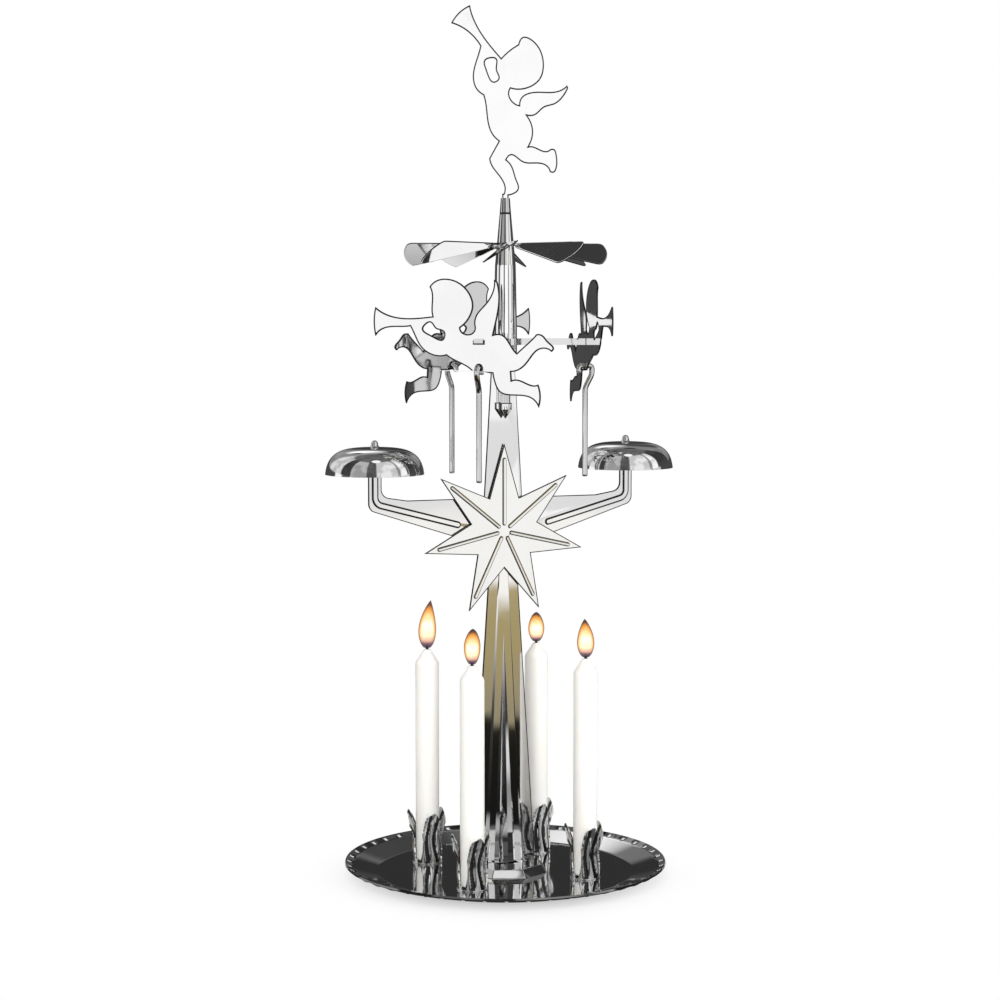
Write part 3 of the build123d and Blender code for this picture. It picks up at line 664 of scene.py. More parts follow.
def heading(turn: float) -> Vector:
    """Level direction at a turn from +X, in radians."""
    return Vector((math.cos(turn), math.sin(turn), 0))


def round_turns(steps: int) -> list[float]:
    """Turns, in radians, of equal steps round a circle."""
    return [FULL_TURN * step / steps for step in range(steps)]


def rounded(points: list[Point], radius: float, steps: int = 4) -> list[Point]:
    """Round the inner corners of an open outline.

    Args:
        points: Corners of the outline.
        radius: How far from a corner its rounding starts, at most.
        steps: Steps across each rounding.

    Returns:
        The outline with a short curve at each inner corner, and beside it a point that keeps the straight
        flat.
    """
    curve = [points[0]]
    for before, corner, after in zip(points, points[1:], points[2:]):
        middle = Vector(corner)
        back = Vector(before) - middle
        ahead = Vector(after) - middle
        reach = min(radius, back.length / 2, ahead.length / 2)
        start = middle + back.normalized() * reach
        end = middle + ahead.normalized() * reach
        curve.append(tuple(middle + back.normalized() * min(SUPPORT * reach, back.length / 2)))
        for step in range(steps + 1):
            t = step / steps
            curve.append(tuple(start * (1 - t) ** 2 + middle * 2 * t * (1 - t) + end * t**2))
        curve.append(tuple(middle + ahead.normalized() * min(SUPPORT * reach, ahead.length / 2)))
    curve.append(points[-1])
    return curve


def turned(profile: list[Point], steps: int = 96) -> BMesh:
    """Turn an outline about the Z axis.

    Args:
        profile: Radius and height of each point of the outline.
        steps: Steps round the axis.

    Returns:
        The turned surface, facing outwards.
    """
    shape = bmesh.new()
    ring = [shape.verts.new((radius, 0, z)) for radius, z in profile]
    edges = [shape.edges.new(pair) for pair in zip(ring, ring[1:])]
    bmesh.ops.spin(
        shape, geom=ring + edges, axis=UP, cent=(0, 0, 0), angle=FULL_TURN, steps=steps, use_merge=True
    )
    bmesh.ops.remove_doubles(shape, verts=shape.verts, dist=WELD)
    bmesh.ops.recalc_face_normals(shape, faces=shape.faces)
    return shape


def thicken(shape: BMesh, wall: float) -> None:
    """Give an open surface a wall on its inner side.

    Args:
        shape: The surface.
        wall: Thickness of the wall.
    """
    bmesh.ops.solidify(shape, geom=shape.faces[:], thickness=wall)


def centre(shape: BMesh, low: Vector, high: Vector) -> None:
    """Move a surface that was made about the Z axis to the middle of a box.

    Args:
        shape: The surface.
        low: Lower corner of the box.
        high: Its upper corner.
    """
    bmesh.ops.translate(shape, verts=shape.verts, vec=((low.x + high.x) / 2, (low.y + high.y) / 2, 0))


def cad_copy(node: str) -> BMesh:
    """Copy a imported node's mesh, welded and with its flat faces joined.

    Args:
        node: Name of the node.

    Returns:
        The copy.
    """
    shape = bmesh.new()
    shape.from_mesh(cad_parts[node].data)
    bmesh.ops.remove_doubles(shape, verts=shape.verts, dist=WELD)
    bmesh.ops.dissolve_limit(
        shape, angle_limit=FLAT_ANGLE, use_dissolve_boundaries=False, verts=shape.verts, edges=shape.edges
    )
    return shape


def roll_edges(shape: BMesh, width: float, segments: int = 2, sharp: float = 35.0) -> None:
    """Round the sharp edges of a sheet as a press leaves them.

    Args:
        shape: The sheet.
        width: Width of the rounding.
        segments: Steps across it.
        sharp: Least angle, in degrees, between the faces of an edge that is rounded.
    """
    limit = math.radians(sharp)
    edges = [edge for edge in shape.edges if edge.is_manifold and edge.calc_face_angle(0) > limit]
    bmesh.ops.bevel(
        shape, geom=edges, offset=width, offset_type="OFFSET", affect="EDGES", segments=segments,
        profile=0.5, material=-1, clamp_overlap=True,
    )


def outer_loop(rim: set[bmesh.types.BMVert]) -> set[bmesh.types.BMVert]:
    """Find the longest run of joined corners among those of a sheet's borders.

    Args:
        rim: The corners of all its borders.

    Returns:
        The corners of its outline, without those of its holes.
    """
    loops = []
    left = set(rim)
    while left:
        loop = set()
        queue = [left.pop()]
        while queue:
            vert = queue.pop()
            loop.add(vert)
            for edge in vert.link_edges:
                other = edge.other_vert(vert)
                if other in left:
                    left.discard(other)
                    queue.append(other)
        loops.append(loop)
    return max(loops, key=len)


def frame_faces(
    shape: BMesh, normal: Vector, limit: float, width: float, drop: float, even: bool, holes: bool
) -> None:
    """Roll the border of a sheet's broad faces over its edge, and paint the edge and the rolled border dark
    as shade.

    Args:
        shape: The sheet.
        normal: Direction that the sheet faces.
        limit: Least share of that direction that a broad face has.
        width: Width of the rolled border.
        drop: How far the border falls away at the edge.
        even: Whether the border keeps its width round sharp corners.
        holes: Whether the borders of holes and beads are painted dark as shade too.
    """
    # Every face starts painted dark as shade; the broad faces then get the polished plating.
    for face in shape.faces:
        face.material_index = Face.PAINTED_SHADE.value
    for side in (normal, -normal):
        broad = [face for face in shape.faces if face.normal.dot(side) > limit]
        for face in broad:
            face.material_index = Face.POLISHED.value
        rim = {
            vert
            for face in broad
            for edge in face.edges
            if any(other.normal.dot(side) <= limit for other in edge.link_faces)
            for vert in edge.verts
        }
        border = bmesh.ops.inset_region(
            shape, faces=broad, thickness=width, depth=0, use_boundary=True, use_even_offset=even
        )["faces"]
        dark = rim if holes else outer_loop(rim)
        # Border faces along the dark rims are painted dark as shade.
        for face in border:
            if any(vert in dark for vert in face.verts):
                face.material_index = Face.PAINTED_SHADE.value
        for vert in rim:
            vert.co -= side * drop


def add_piece(
    name: str,
    shape: BMesh,
    materials: list[bpy.types.Material],
    body: str,
    nodes: Iterable[str] = (),
    sharp: float = 40.0,
    weighted: bool = False,
) -> bpy.types.Object:
    """Make a finished piece that rides on a body.

    Args:
        name: Name of the piece.
        shape: Its surface, which is used up.
        materials: Its materials, in slot order.
        body: The body that it rides on.
        nodes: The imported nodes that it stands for.
        sharp: Least angle, in degrees, of an edge that is shaded sharp.
        weighted: Whether large faces keep their own shading beside small ones.

    Returns:
        The new object.
    """
    mesh = bpy.data.meshes.new(name)
    shape.to_mesh(mesh)
    shape.free()
    for material in materials:
        mesh.materials.append(material)
    mesh.shade_smooth()
    mesh.set_sharp_from_angle(angle=math.radians(sharp))
    piece = bpy.data.objects.new(name, mesh)
    bpy.context.scene.collection.objects.link(piece)
    if weighted:
        weights = piece.modifiers.new("weights", "WEIGHTED_NORMAL")
        weights.weight = 100
        weights.keep_sharp = True
    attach(piece, body)
    if nodes:
        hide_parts(*nodes)
    LOG.info("%s: %d faces on %s", name, len(mesh.polygons), body)
    return piece


@dataclass
class Tray:
    """Pressed dish with a dented rim on a foot ring, and the sloping collar on its floor.

    Attributes:
        sheet: Thickness of the sheet.
        rim_width: Width of the turned-up rim.
        rim_rise: How far the rim rises.
        floor_radius: Radius of the floor.
        foot_radius: Inner radius of the foot ring.
        foot_width: Width of the foot ring.
        floor_raise: Height of the floor's underside.
        press_round: Rounding of the pressed corners.
        dents: Dents round the rim.
        dent_steps: Steps across each dent.
        dent_depth: Depth of a dent.
        highlight_share: Share of that depth from which a dent gets a painted highlight.
        collar_roll: Rounding of the collar's edges.
        collar_steps: Steps across that rounding.
        collar_sharp: Least angle, in degrees, of an edge of the collar that is rounded.
    """

    sheet: float = 0.6 * MM
    rim_width: float = 2.6 * MM
    rim_rise: float = 1.2 * MM
    floor_radius: float = 43.6 * MM
    foot_radius: float = 37.4 * MM
    foot_width: float = 1.4 * MM
    floor_raise: float = 0.9 * MM
    press_round: float = 0.7 * MM
    dents: int = 48
    dent_steps: int = 12
    dent_depth: float = 0.35 * MM
    highlight_share: float = 0.66
    collar_roll: float = 0.25 * MM
    collar_steps: int = 3
    collar_sharp: float = 20.0

    def build_dish(self) -> BMesh:
        """Turn the dish and press the dents into its rim.

        Returns:
            The dish with its wall.
        """
        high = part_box("tray")[1]
        radius, height = high.x, high.z
        lip = radius - self.rim_width
        shape = turned(rounded([
            (0, self.floor_raise + self.sheet),
            (self.floor_radius, self.floor_raise + self.sheet),
            (lip, height - self.rim_rise),
            (radius - self.rim_width / 2, height - self.rim_rise / 2),
            (radius - self.rim_width / 4, height - self.rim_rise / 4),
            (radius, height),
        ], self.press_round), self.dents * self.dent_steps)
        if shape.faces[0].normal.z < 0:
            bmesh.ops.reverse_faces(shape, faces=shape.faces)
        for vert in shape.verts:
            vert.co.z -= self.dent_depth * self.dent_share(vert.co, lip)
        for face in shape.faces:
            middle = face.calc_center_median()
            # Deep parts of the dents get a pale, rough finish: a painted highlight.
            if self.dent_share(middle, lip) > self.highlight_share:
                face.material_index = Face.PAINTED_HIGHLIGHT.value
            # The rest of the rim gets the second slot, plating painted dark as shade.
            elif math.hypot(middle.x, middle.y) > lip:
                face.material_index = Face.PAINTED_SHADE.value
        thicken(shape, self.sheet)
        foot = turned(rounded([
            (self.foot_radius, self.floor_raise),
            (self.foot_radius, 0),
            (self.foot_radius + self.foot_width, 0),
            (self.foot_radius + self.foot_width, self.floor_raise),
        ], self.press_round / 2))
        return merged([shape, foot])

    def dent_share(self, point: Vector, lip: float) -> float:
        """How much of a dent's full depth a point of the rim has.

        Args:
            point: The point.
            lip: Radius where the rim starts.

        Returns:
            A share from 0 to 1.
        """
        across = (math.hypot(point.x, point.y) - lip) / self.rim_width
        if across <= 0:
            return 0.0
        wave = max(math.cos(math.atan2(point.y, point.x) * self.dents), 0)
        return wave**2 * math.sin(math.pi * min(across, 1))

    def dress(
        self, plating: bpy.types.Material, plating_with_painted_shade: bpy.types.Material, smear_and_painted_light: bpy.types.Material
    ) -> None:
        """Add the dish and the collar.

        Args:
            plating: Finish of the dish and the collar, a darker copy of the plating that paints shade.
            plating_with_painted_shade: Finish of the rim, plating painted dark as shade.
            smear_and_painted_light: Finish of the dents in the rim, a pale, rough plating that paints a
                highlight in each.
        """
        add_piece("dented_tray", self.build_dish(), [plating, plating_with_painted_shade, smear_and_painted_light], "stand", ["tray"])
        collar = cad_copy("base_collar")
        roll_edges(collar, self.collar_roll, self.collar_steps, self.collar_sharp)
        add_piece("foot_collar", collar, [plating], "stand", ["base_collar"], sharp=12.0)


@dataclass
class SheetPiece:
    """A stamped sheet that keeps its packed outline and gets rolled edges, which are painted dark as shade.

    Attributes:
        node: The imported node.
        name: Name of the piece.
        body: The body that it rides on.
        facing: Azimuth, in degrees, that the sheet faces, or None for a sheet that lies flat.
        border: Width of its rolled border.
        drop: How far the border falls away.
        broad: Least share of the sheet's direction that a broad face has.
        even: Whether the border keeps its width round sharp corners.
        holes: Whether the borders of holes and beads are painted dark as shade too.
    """

    node: str
    name: str
    body: str
    facing: float | None
    border: float = 0.45 * MM
    drop: float = 0.12 * MM
    broad: float = 0.6
    even: bool = True
    holes: bool = False

    def dress(self, plating: bpy.types.Material, painted_shade_finish: bpy.types.Material) -> None:
        """Add the sheet with its two finishes.

        Args:
            plating: Finish of its broad faces.
            painted_shade_finish: Dark plating painted on its edges and rolled border as shade.
        """
        shape = cad_copy(self.node)
        normal = UP
        if self.facing is not None:
            normal = heading(math.radians(self.facing))
        frame_faces(shape, normal, self.broad, self.border, self.drop, self.even, self.holes)
        add_piece(self.name, shape, [plating, painted_shade_finish], self.body, [self.node], sharp=2.5)


@dataclass
class Bell:
    """Domed gong with a drawn nipple.

    Attributes:
        node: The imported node.
        wall: Thickness of its wall.
        rim_inset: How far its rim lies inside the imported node's.
        rise: Height of the dome.
        foot_share: Share of the full curve's height that is cut off below the rim.
        flat_power: Power of the curve: 2 for an ellipse, more for a fuller shoulder.
        nipple_radius: Radius of the nipple.
        nipple_foot: Radius where the dome gives way to the nipple.
        nipple_round: Rounding at the nipple's foot.
        neck_rise: Height of the nipple's foot above the dome.
        neck_share: Radius of the nipple's foot, as a multiple of the nipple's.
        dome_steps: Steps up the dome.
        cap_steps: Steps over the nipple's end.
        round_steps: Steps round its axis.
    """

    node: str
    wall: float = 0.6 * MM
    rim_inset: float = 0.2 * MM
    rise: float = 9.0 * MM
    foot_share: float = 0.4
    flat_power: float = 3.6
    nipple_radius: float = 1.15 * MM
    nipple_foot: float = 3.2 * MM
    nipple_round: float = 1.5 * MM
    neck_rise: float = 0.15 * MM
    neck_share: float = 1.25
    dome_steps: int = 28
    cap_steps: int = 6
    round_steps: int = 128

    def build(self) -> BMesh:
        """Turn the dome and its nipple and give them a wall.

        Returns:
            The bell, in place on its arm.
        """
        low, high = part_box(self.node)
        first = math.asin(self.foot_share ** (self.flat_power / 2))
        rim = (high.x - low.x) / 2 - self.rim_inset
        radius = rim / math.cos(first) ** (2 / self.flat_power)
        dome = self.rise / (1 - self.foot_share)
        outline = []
        last = math.acos((self.nipple_foot / radius) ** (self.flat_power / 2))
        for step in range(self.dome_steps + 1):
            turn = first + (last - first) * step / self.dome_steps
            reach = math.cos(turn) ** (2 / self.flat_power)
            rise = math.sin(turn) ** (2 / self.flat_power) - self.foot_share
            outline.append((radius * reach, low.z + dome * rise))
        crown = high.z - self.nipple_radius
        outline += rounded([
            outline[-1],
            (self.nipple_radius * self.neck_share, low.z + self.rise + self.neck_rise),
            (self.nipple_radius, crown),
        ], self.nipple_round)[1:]
        for step in range(1, self.cap_steps + 1):
            turn = math.pi / 2 * step / self.cap_steps
            rise = self.nipple_radius * math.sin(turn)
            outline.append((self.nipple_radius * math.cos(turn), crown + rise))
        shape = turned(outline, self.round_steps)
        thicken(shape, self.wall)
        centre(shape, low, high)
        return shape

    def dress(self, plating: bpy.types.Material) -> None:
        """Add the bell.

        Args:
            plating: Its finish.
        """
        add_piece(f"{self.node}_gong", self.build(), [plating], self.node, [self.node])


@dataclass
class RoundCopy:
    """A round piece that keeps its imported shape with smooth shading.

    Attributes:
        node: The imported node.
        name: Name of the piece.
        body: The body that it rides on.
    """

    node: str
    name: str
    body: str

    def dress(self, plating: bpy.types.Material) -> None:
        """Add the piece.

        Args:
            plating: Its finish.
        """
        add_piece(
            self.name, cad_copy(self.node), [plating], self.body, [self.node],
            sharp=30.0, weighted=True,
        )


@dataclass
class DrawnTube:
    """The tapering tube of the rotor.

    Attributes:
        outline: Radius, and height above its foot, of the corners of its wall, in millimetres.
        roll: Rounding of the steps.
        dark_band: Height of the band at its upper end that gets the dark plating.
        round_steps: Steps round its axis.
    """

    outline: tuple[Point, ...] = TUBE_OUTLINE
    roll: float = 0.12 * MM
    dark_band: float = 0.7 * MM
    round_steps: int = 96

    def dress(self, plating: bpy.types.Material, painted_shade_finish: bpy.types.Material) -> None:
        """Add the tube.

        Args:
            plating: Its finish.
            painted_shade_finish: Finish of that band, the dark plating.
        """
        low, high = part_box("rotor_tube")
        corners = [(radius * MM, low.z + rise * MM) for radius, rise in self.outline]
        shape = turned(rounded(corners, self.roll), self.round_steps)
        above = high.z - self.dark_band
        bmesh.ops.bisect_plane(
            shape, geom=shape.verts[:] + shape.edges[:] + shape.faces[:], plane_co=(0, 0, above), plane_no=UP
        )
        # Faces above that height get the dark plating.
        for face in shape.faces:
            if face.calc_center_median().z > above:
                face.material_index = Face.PAINTED_SHADE.value
        add_piece("drawn_tube", shape, [plating, painted_shade_finish], "rotor", ["rotor_tube"])


def grid_surface(rows: list[list[Vector]], closed: bool = False) -> BMesh:
    """Skin a grid of points.

    Args:
        rows: Rows of points, each as long as the others.
        closed: Whether each row runs round and joins its own start.

    Returns:
        The skinned surface.
    """
    shape = bmesh.new()
    grid = [[shape.verts.new(point) for point in row] for row in rows]
    for low, high in zip(grid, grid[1:]):
        pairs = list(zip(low, high))
        if closed:
            pairs.append(pairs[0])
        for (a, d), (b, c) in zip(pairs, pairs[1:]):
            shape.faces.new((a, b, c, d))
    bmesh.ops.remove_doubles(shape, verts=shape.verts, dist=WELD)
    return shape


def closed_skin(rings: list[list[Vector]]) -> BMesh:
    """Skin a row of rings and close both its ends.

    Args:
        rings: Rings of points, each as long as the others.

    Returns:
        The skinned surface, facing outwards.
    """
    shape = grid_surface(rings, closed=True)
    bmesh.ops.holes_fill(shape, edges=shape.edges, sides=0)
    bmesh.ops.recalc_face_normals(shape, faces=shape.faces)
    return shape


def merged(shapes: Iterable[BMesh]) -> BMesh:
    """Put several surfaces into one.

    Args:
        shapes: The surfaces, which are used up.

    Returns:
        One surface with all of them.
    """
    whole = bmesh.new()
    for shape in shapes:
        part = bpy.data.meshes.new("part")
        shape.to_mesh(part)
        shape.free()
        whole.from_mesh(part)
        bpy.data.meshes.remove(part)
    return whole


@dataclass
class Striker:
    """A bent wire that hangs in an angel and strikes the bells.

    Attributes:
        number: Its number.
        azimuth: Azimuth, in degrees, of the plane that it is bent in.
        radius: Radius of the plated wire.
        plane_radius: Distance of its straight part from the axis.
        straight: Height of the straight part.
        bow: How far the hook stands out.
        rise: Height over which it bows out.
        hook: Height of the hook above the foot of the wire.
        tail: How far the hook reaches in behind the angel.
        drop: How far its end hangs down.
        bend: How far from a corner its bend starts.
        bend_steps: Steps round each bend.
        end_rings: Distance from an end, and radius there, as shares of the wire's radius.
        round_steps: Steps round the wire.
    """

    number: int
    azimuth: float
    radius: float = 0.93 * MM
    plane_radius: float = 28.0 * MM
    straight: float = 30.5 * MM
    bow: float = 2.4 * MM
    rise: float = 4.6 * MM
    hook: float = 38.0 * MM
    tail: float = 2.2 * MM
    drop: float = 2.4 * MM
    bend: float = 1.2 * MM
    bend_steps: int = 8
    end_rings: tuple[Point, ...] = ((0.0, 0.6), (0.12, 0.9), (0.4, 1.0), (0.8, 1.0))
    round_steps: int = 24

    def path(self) -> list[Point]:
        """Lay out the wire.

        Returns:
            Distance from the axis and height of each point of its middle line.
        """
        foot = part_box(f"striker_rod_{self.number}")[0].z
        middle = self.plane_radius
        return rounded([
            (middle, foot),
            (middle, foot + self.straight),
            (middle + self.bow, foot + self.straight + self.rise),
            (middle + self.bow, foot + self.hook),
            (middle - self.tail, foot + self.hook),
            (middle - self.tail, foot + self.hook - self.drop),
        ], self.bend, self.bend_steps)

    def dress(self, plating: bpy.types.Material) -> None:
        """Add the wire.

        Args:
            plating: Its finish.
        """
        outward = heading(math.radians(self.azimuth))
        aside = UP.cross(outward)
        line = [outward * reach + UP * z for reach, z in self.path()]
        runs = [(after - before).normalized() for before, after in zip(line, line[1:])]
        first, last = runs[0], runs[-1]
        rings = [(line[0] + first * self.radius * far, first, share) for far, share in self.end_rings]
        rings += [(point, (a + b).normalized(), 1.0) for point, a, b in zip(line[1:-1], runs, runs[1:])]
        rings += [(line[-1] - last * self.radius * far, last, share) for far, share in self.end_rings[::-1]]
        rows = []
        for point, run, share in rings:
            across = run.cross(aside)
            rows.append([
                point + (across * math.cos(turn) + aside * math.sin(turn)) * self.radius * share
                for turn in round_turns(self.round_steps)
            ])
        shape = closed_skin(rows)
        body = f"striker_{self.number}"
        node = f"striker_rod_{self.number}"
        add_piece(f"wire_{body}", shape, [plating], body, [node], sharp=60.0)


@dataclass
class Clip:
    """Candle clip: a small riveted base with three fluted leaf petals.

    Attributes:
        number: Its number.
        sheet: Thickness of the sheet.
        inner_radius: Radius of the room for the candle.
        petals: Number of petals.
        first_azimuth: Azimuth of the first petal, in degrees.
        straight: Share of a petal's height below its flare.
        flare: How far the tip of a petal stands out.
        flare_lag: Share of the flare that its sides lack.
        root_half: Half the width of a petal's foot.
        cup_share: Share of its height over which it narrows.
        belly_half: Half its width above that.
        tip_narrow: Share of its width that is lost at the tip.
        flutes: Flutes across a petal.
        flute_depth: Depth of a flute.
        flute_power: Where the flutes are deepest: 1 for halfway up, less for nearer the foot.
        groove_share: Share of a flute's depth below which its faces are painted dark as shade in the groove.
        sway: How far the flutes sway, as a share of half a petal's width.
        notch: Share of the height that the grooves cut into the tip.
        shoulder: Share of the height that its sides lack.
        side_cut: How much of a half circle the tip follows: 1 for all of it.
        base_hole: Radius of the base's hole.
        base_lip: How far the base reaches past the petals.
        base_round: Rounding of the base.
        base_steps: Steps round the base.
        across_steps: Steps across a petal.
        along_steps: Steps along a petal.
    """

    number: int
    sheet: float = 0.45 * MM
    inner_radius: float = 4.25 * MM
    petals: int = 3
    first_azimuth: float = 27.0
    straight: float = 0.5
    flare: float = 2.5 * MM
    flare_lag: float = 0.25
    root_half: float = 4.5 * MM
    cup_share: float = 0.5
    belly_half: float = 3.0 * MM
    tip_narrow: float = 0.3
    flutes: float = 2.3
    flute_depth: float = 0.5 * MM
    flute_power: float = 0.7
    groove_share: float = 0.42
    sway: float = 0.16
    notch: float = 0.03
    shoulder: float = 0.3
    side_cut: float = 0.985
    base_hole: float = 0.8 * MM
    base_lip: float = 0.5 * MM
    base_round: float = 0.15 * MM
    base_steps: int = 64
    across_steps: int = 28
    along_steps: int = 28

    def petal(self, azimuth: float, foot: float, height: float) -> BMesh:
        """Skin one petal.

        Args:
            azimuth: Azimuth of its middle, in degrees.
            foot: Height of its foot.
            height: Its own height.

        Returns:
            The petal with its wall.
        """
        outer = self.inner_radius + self.sheet
        rows = []
        grooves = []
        for along in range(self.along_steps + 1):
            v = along / self.along_steps
            sway = self.sway * math.sin(FULL_TURN * v + math.radians(azimuth))
            cup = max(1 - v / self.cup_share, 0) ** 2
            half = self.belly_half + (self.root_half - self.belly_half) * cup
            bend = max(v - self.straight, 0) / (1 - self.straight)
            row = []
            for across in range(self.across_steps + 1):
                u = 2 * across / self.across_steps - 1
                wave = (1 + math.cos((u + sway) * math.pi * self.flutes)) / 2
                flute = wave * self.flute_depth * math.sin(math.pi * v**self.flute_power)
                reach = outer + self.flare * bend**2 * (1 - self.flare_lag * u * u) + flute
                turn = math.radians(azimuth) + half * u / outer * (1 - self.tip_narrow * bend**2)
                side = 1 - math.sqrt(1 - self.side_cut * u * u)
                crown = 1 - self.shoulder * side - self.notch * (1 - wave)
                if along and across:
                    grooves.append(wave < self.groove_share)
                z = foot + height * v * crown
                row.append(Vector((reach * math.cos(turn), reach * math.sin(turn), z)))
            rows.append(row)
        shape = grid_surface(rows)
        # Faces in the grooves are painted dark as shade.
        for face, groove in zip(shape.faces, grooves):
            face.material_index = Face.PAINTED_SHADE.value if groove else Face.POLISHED.value
        thicken(shape, self.sheet)
        return shape

    def build(self) -> BMesh:
        """Join the base and the petals.

        Returns:
            The clip, in place on the tray.
        """
        low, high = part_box(f"candle_holder_{self.number}")
        candle_low, candle_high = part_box(f"candle_{self.number}")
        lip = self.inner_radius + self.sheet + self.base_lip
        base = turned(rounded([
            (self.base_hole, low.z + self.sheet),
            (self.base_hole, low.z),
            (lip, low.z),
            (lip, low.z + self.sheet),
            (self.base_hole, low.z + self.sheet),
        ], self.base_round), self.base_steps)
        azimuths = [self.first_azimuth + 360 / self.petals * leaf for leaf in range(self.petals)]
        petals = [self.petal(azimuth, low.z, high.z - low.z) for azimuth in azimuths]
        shape = merged([base, *petals])
        centre(shape, candle_low, candle_high)
        return shape

    def dress(self, plating: bpy.types.Material, painted_shade_finish: bpy.types.Material) -> None:
        """Add the clip.

        Args:
            plating: Its finish.
            painted_shade_finish: Dark plating painted into the grooves between its flutes as shade.
        """
        add_piece(
            f"leaf_clip_{self.number}", self.build(), [plating, painted_shade_finish], "stand",
            [f"candle_holder_{self.number}"], sharp=60.0,
        )


@dataclass
class Flame:
    """Shape of one candle flame.

    Attributes:
        height: Height from the foot to the tip.
        radius: Its largest radius.
        belly: Share of the height at which it is widest.
        blunt: Power of the tip: 1 for a point, less for a round top.
        lean: How far the tip drifts sideways.
        foot_cut: Share of the lower curve that is kept: 1 for a closed foot.
        taper: Power of the upper curve.
        drift: Direction in which it leans.
        around_steps: Steps round the flame.
        along_steps: Steps along it.
    """

    height: float
    radius: float
    belly: float
    blunt: float
    lean: float
    foot_cut: float = 0.93
    taper: float = 1.7
    drift: Triple = (0.92, -0.39, 0.0)
    around_steps: int = 32
    along_steps: int = 40

    def width(self, t: float) -> float:
        """Find the width of the flame.

        Args:
            t: Share of its height.

        Returns:
            Its radius there.
        """
        if t < self.belly:
            below = (self.belly - t) / self.belly
            return self.radius * math.sqrt(1 - (self.foot_cut * below) ** 2)
        above = (t - self.belly) / (1 - self.belly)
        return self.radius * max(1 - above**self.taper, 0) ** self.blunt

    def shell(self, foot: Vector, share: float, start: float, end: float) -> BMesh:
        """Skin one layer of the flame.

        Args:
            foot: The middle of the flame's foot.
            share: Share of the flame's own radius.
            start: Where the layer starts, as a share of the height.
            end: Where it ends.

        Returns:
            The layer.
        """
        drift = Vector(self.drift) * self.lean
        rows = []
        for along in range(self.along_steps + 1):
            inner = along / self.along_steps
            t = start + (end - start) * inner
            middle = foot + UP * self.height * t + drift * t**3
            radius = self.width(inner) * share
            rows.append([middle + heading(turn) * radius for turn in round_turns(self.around_steps)])
        return closed_skin(rows)


@dataclass
class Candle:
    """A candle, its charred wick and its flame.

    Attributes:
        number: Its number.
        flame: Its flame.
        taper: Height of the candle's tapered top.
        waist_share: Share of the taper at which it has its waist.
        tip_radius: Radius of the tip.
        tip_round: Height of the tip's rounding, and depth of the hollow round the wick.
        soften: Rounding of the wax.
        soften_steps: Steps across that rounding.
        round_steps: Steps round the candle.
        wick_share: Radius of the wick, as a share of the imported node's.
        burnt_share: Radius of its burnt end, as such a share.
        wick_bend: How far the burnt end bends over.
        bend_start: Share of the wick's height where the bend starts.
        strands: Strands of the wick.
        strand_depth: How far the strands stand out, as a share of the wick's radius.
        strand_twist: Twist of the strands, in radians per metre.
        wick_steps: Steps along the wick.
        wick_round: Steps round the wick.
        flame_lift: Height of the flame's foot above the wax.
    """

    number: int
    flame: Flame
    taper: float = 4.6 * MM
    waist_share: float = 0.58
    tip_radius: float = 1.35 * MM
    tip_round: float = 0.4 * MM
    soften: float = 0.9 * MM
    soften_steps: int = 6
    round_steps: int = 64
    wick_share: float = 0.86
    burnt_share: float = 0.3
    wick_bend: float = 0.35 * MM
    bend_start: float = 0.6
    strands: int = 3
    strand_depth: float = 0.14
    strand_twist: float = 900.0
    wick_steps: int = 32
    wick_round: int = 24
    flame_lift: float = 0.5 * MM

    def build_wax(self) -> BMesh:
        """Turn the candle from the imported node's own size.

        Returns:
            The candle, in place.
        """
        low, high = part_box(f"candle_{self.number}")
        radius = (high.x - low.x) / 2
        shoulder = high.z - self.taper
        waist = (radius + 2 * self.tip_radius) / 3
        shape = turned(rounded([
            (0, low.z),
            (radius, low.z),
            (radius, shoulder),
            (waist, shoulder + self.taper * self.waist_share),
            (self.tip_radius, high.z - self.tip_round),
            (self.tip_radius - self.tip_round, high.z),
            (0, high.z - self.tip_round),
        ], self.soften, self.soften_steps), self.round_steps)
        centre(shape, low, high)
        return shape

    def build_wick(self) -> BMesh:
        """Skin the twisted strands, which bend a little at the burnt end.

        Returns:
            The wick, in place.
        """
        low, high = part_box(f"wick_{self.number}")
        middle = (low + high) / 2
        radius = (high.x - low.x) / 2
        rows = []
        for along in range(self.wick_steps + 1):
            t = along / self.wick_steps
            z = low.z + (high.z - low.z) * t
            bend = self.wick_bend * (max(t - self.bend_start, 0) / (1 - self.bend_start)) ** 2
            swell = radius * (self.wick_share if along < self.wick_steps else self.burnt_share)
            row = []
            for turn in round_turns(self.wick_round):
                reach = swell * (1 + self.strand_depth * math.cos(self.strands * turn))
                twisted = turn + z * self.strand_twist
                x = middle.x + bend + reach * math.cos(twisted)
                row.append(Vector((x, middle.y + reach * math.sin(twisted), z)))
            rows.append(row)
        return closed_skin(rows)

    def dress(self, wax: bpy.types.Material, cotton: bpy.types.Material) -> None:
        """Add the candle, its wick and its flame.

        Args:
            wax: Finish of the candle.
            cotton: Finish of the wick.
        """
        body = f"candle_{self.number}"
        add_piece(f"{body}_wax", self.build_wax(), [wax], body, [body])
        add_piece(f"{body}_strands", self.build_wick(), [cotton], body, [f"wick_{self.number}"])
        low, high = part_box(f"wick_{self.number}")
        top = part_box(body)[1].z
        foot = Vector(((low.x + high.x) / 2, (low.y + high.y) / 2, top + self.flame_lift))
        for layer, (share, start, end, stops, cover, strength) in enumerate(FLAME_LAYERS):
            name = f"{body}_flame_{layer}"
            glow = FlameGlow(name, stops, cover, strength, foot.z, self.flame.height).material()
            add_piece(name, self.flame.shell(foot, share, start, end), [glow], body)


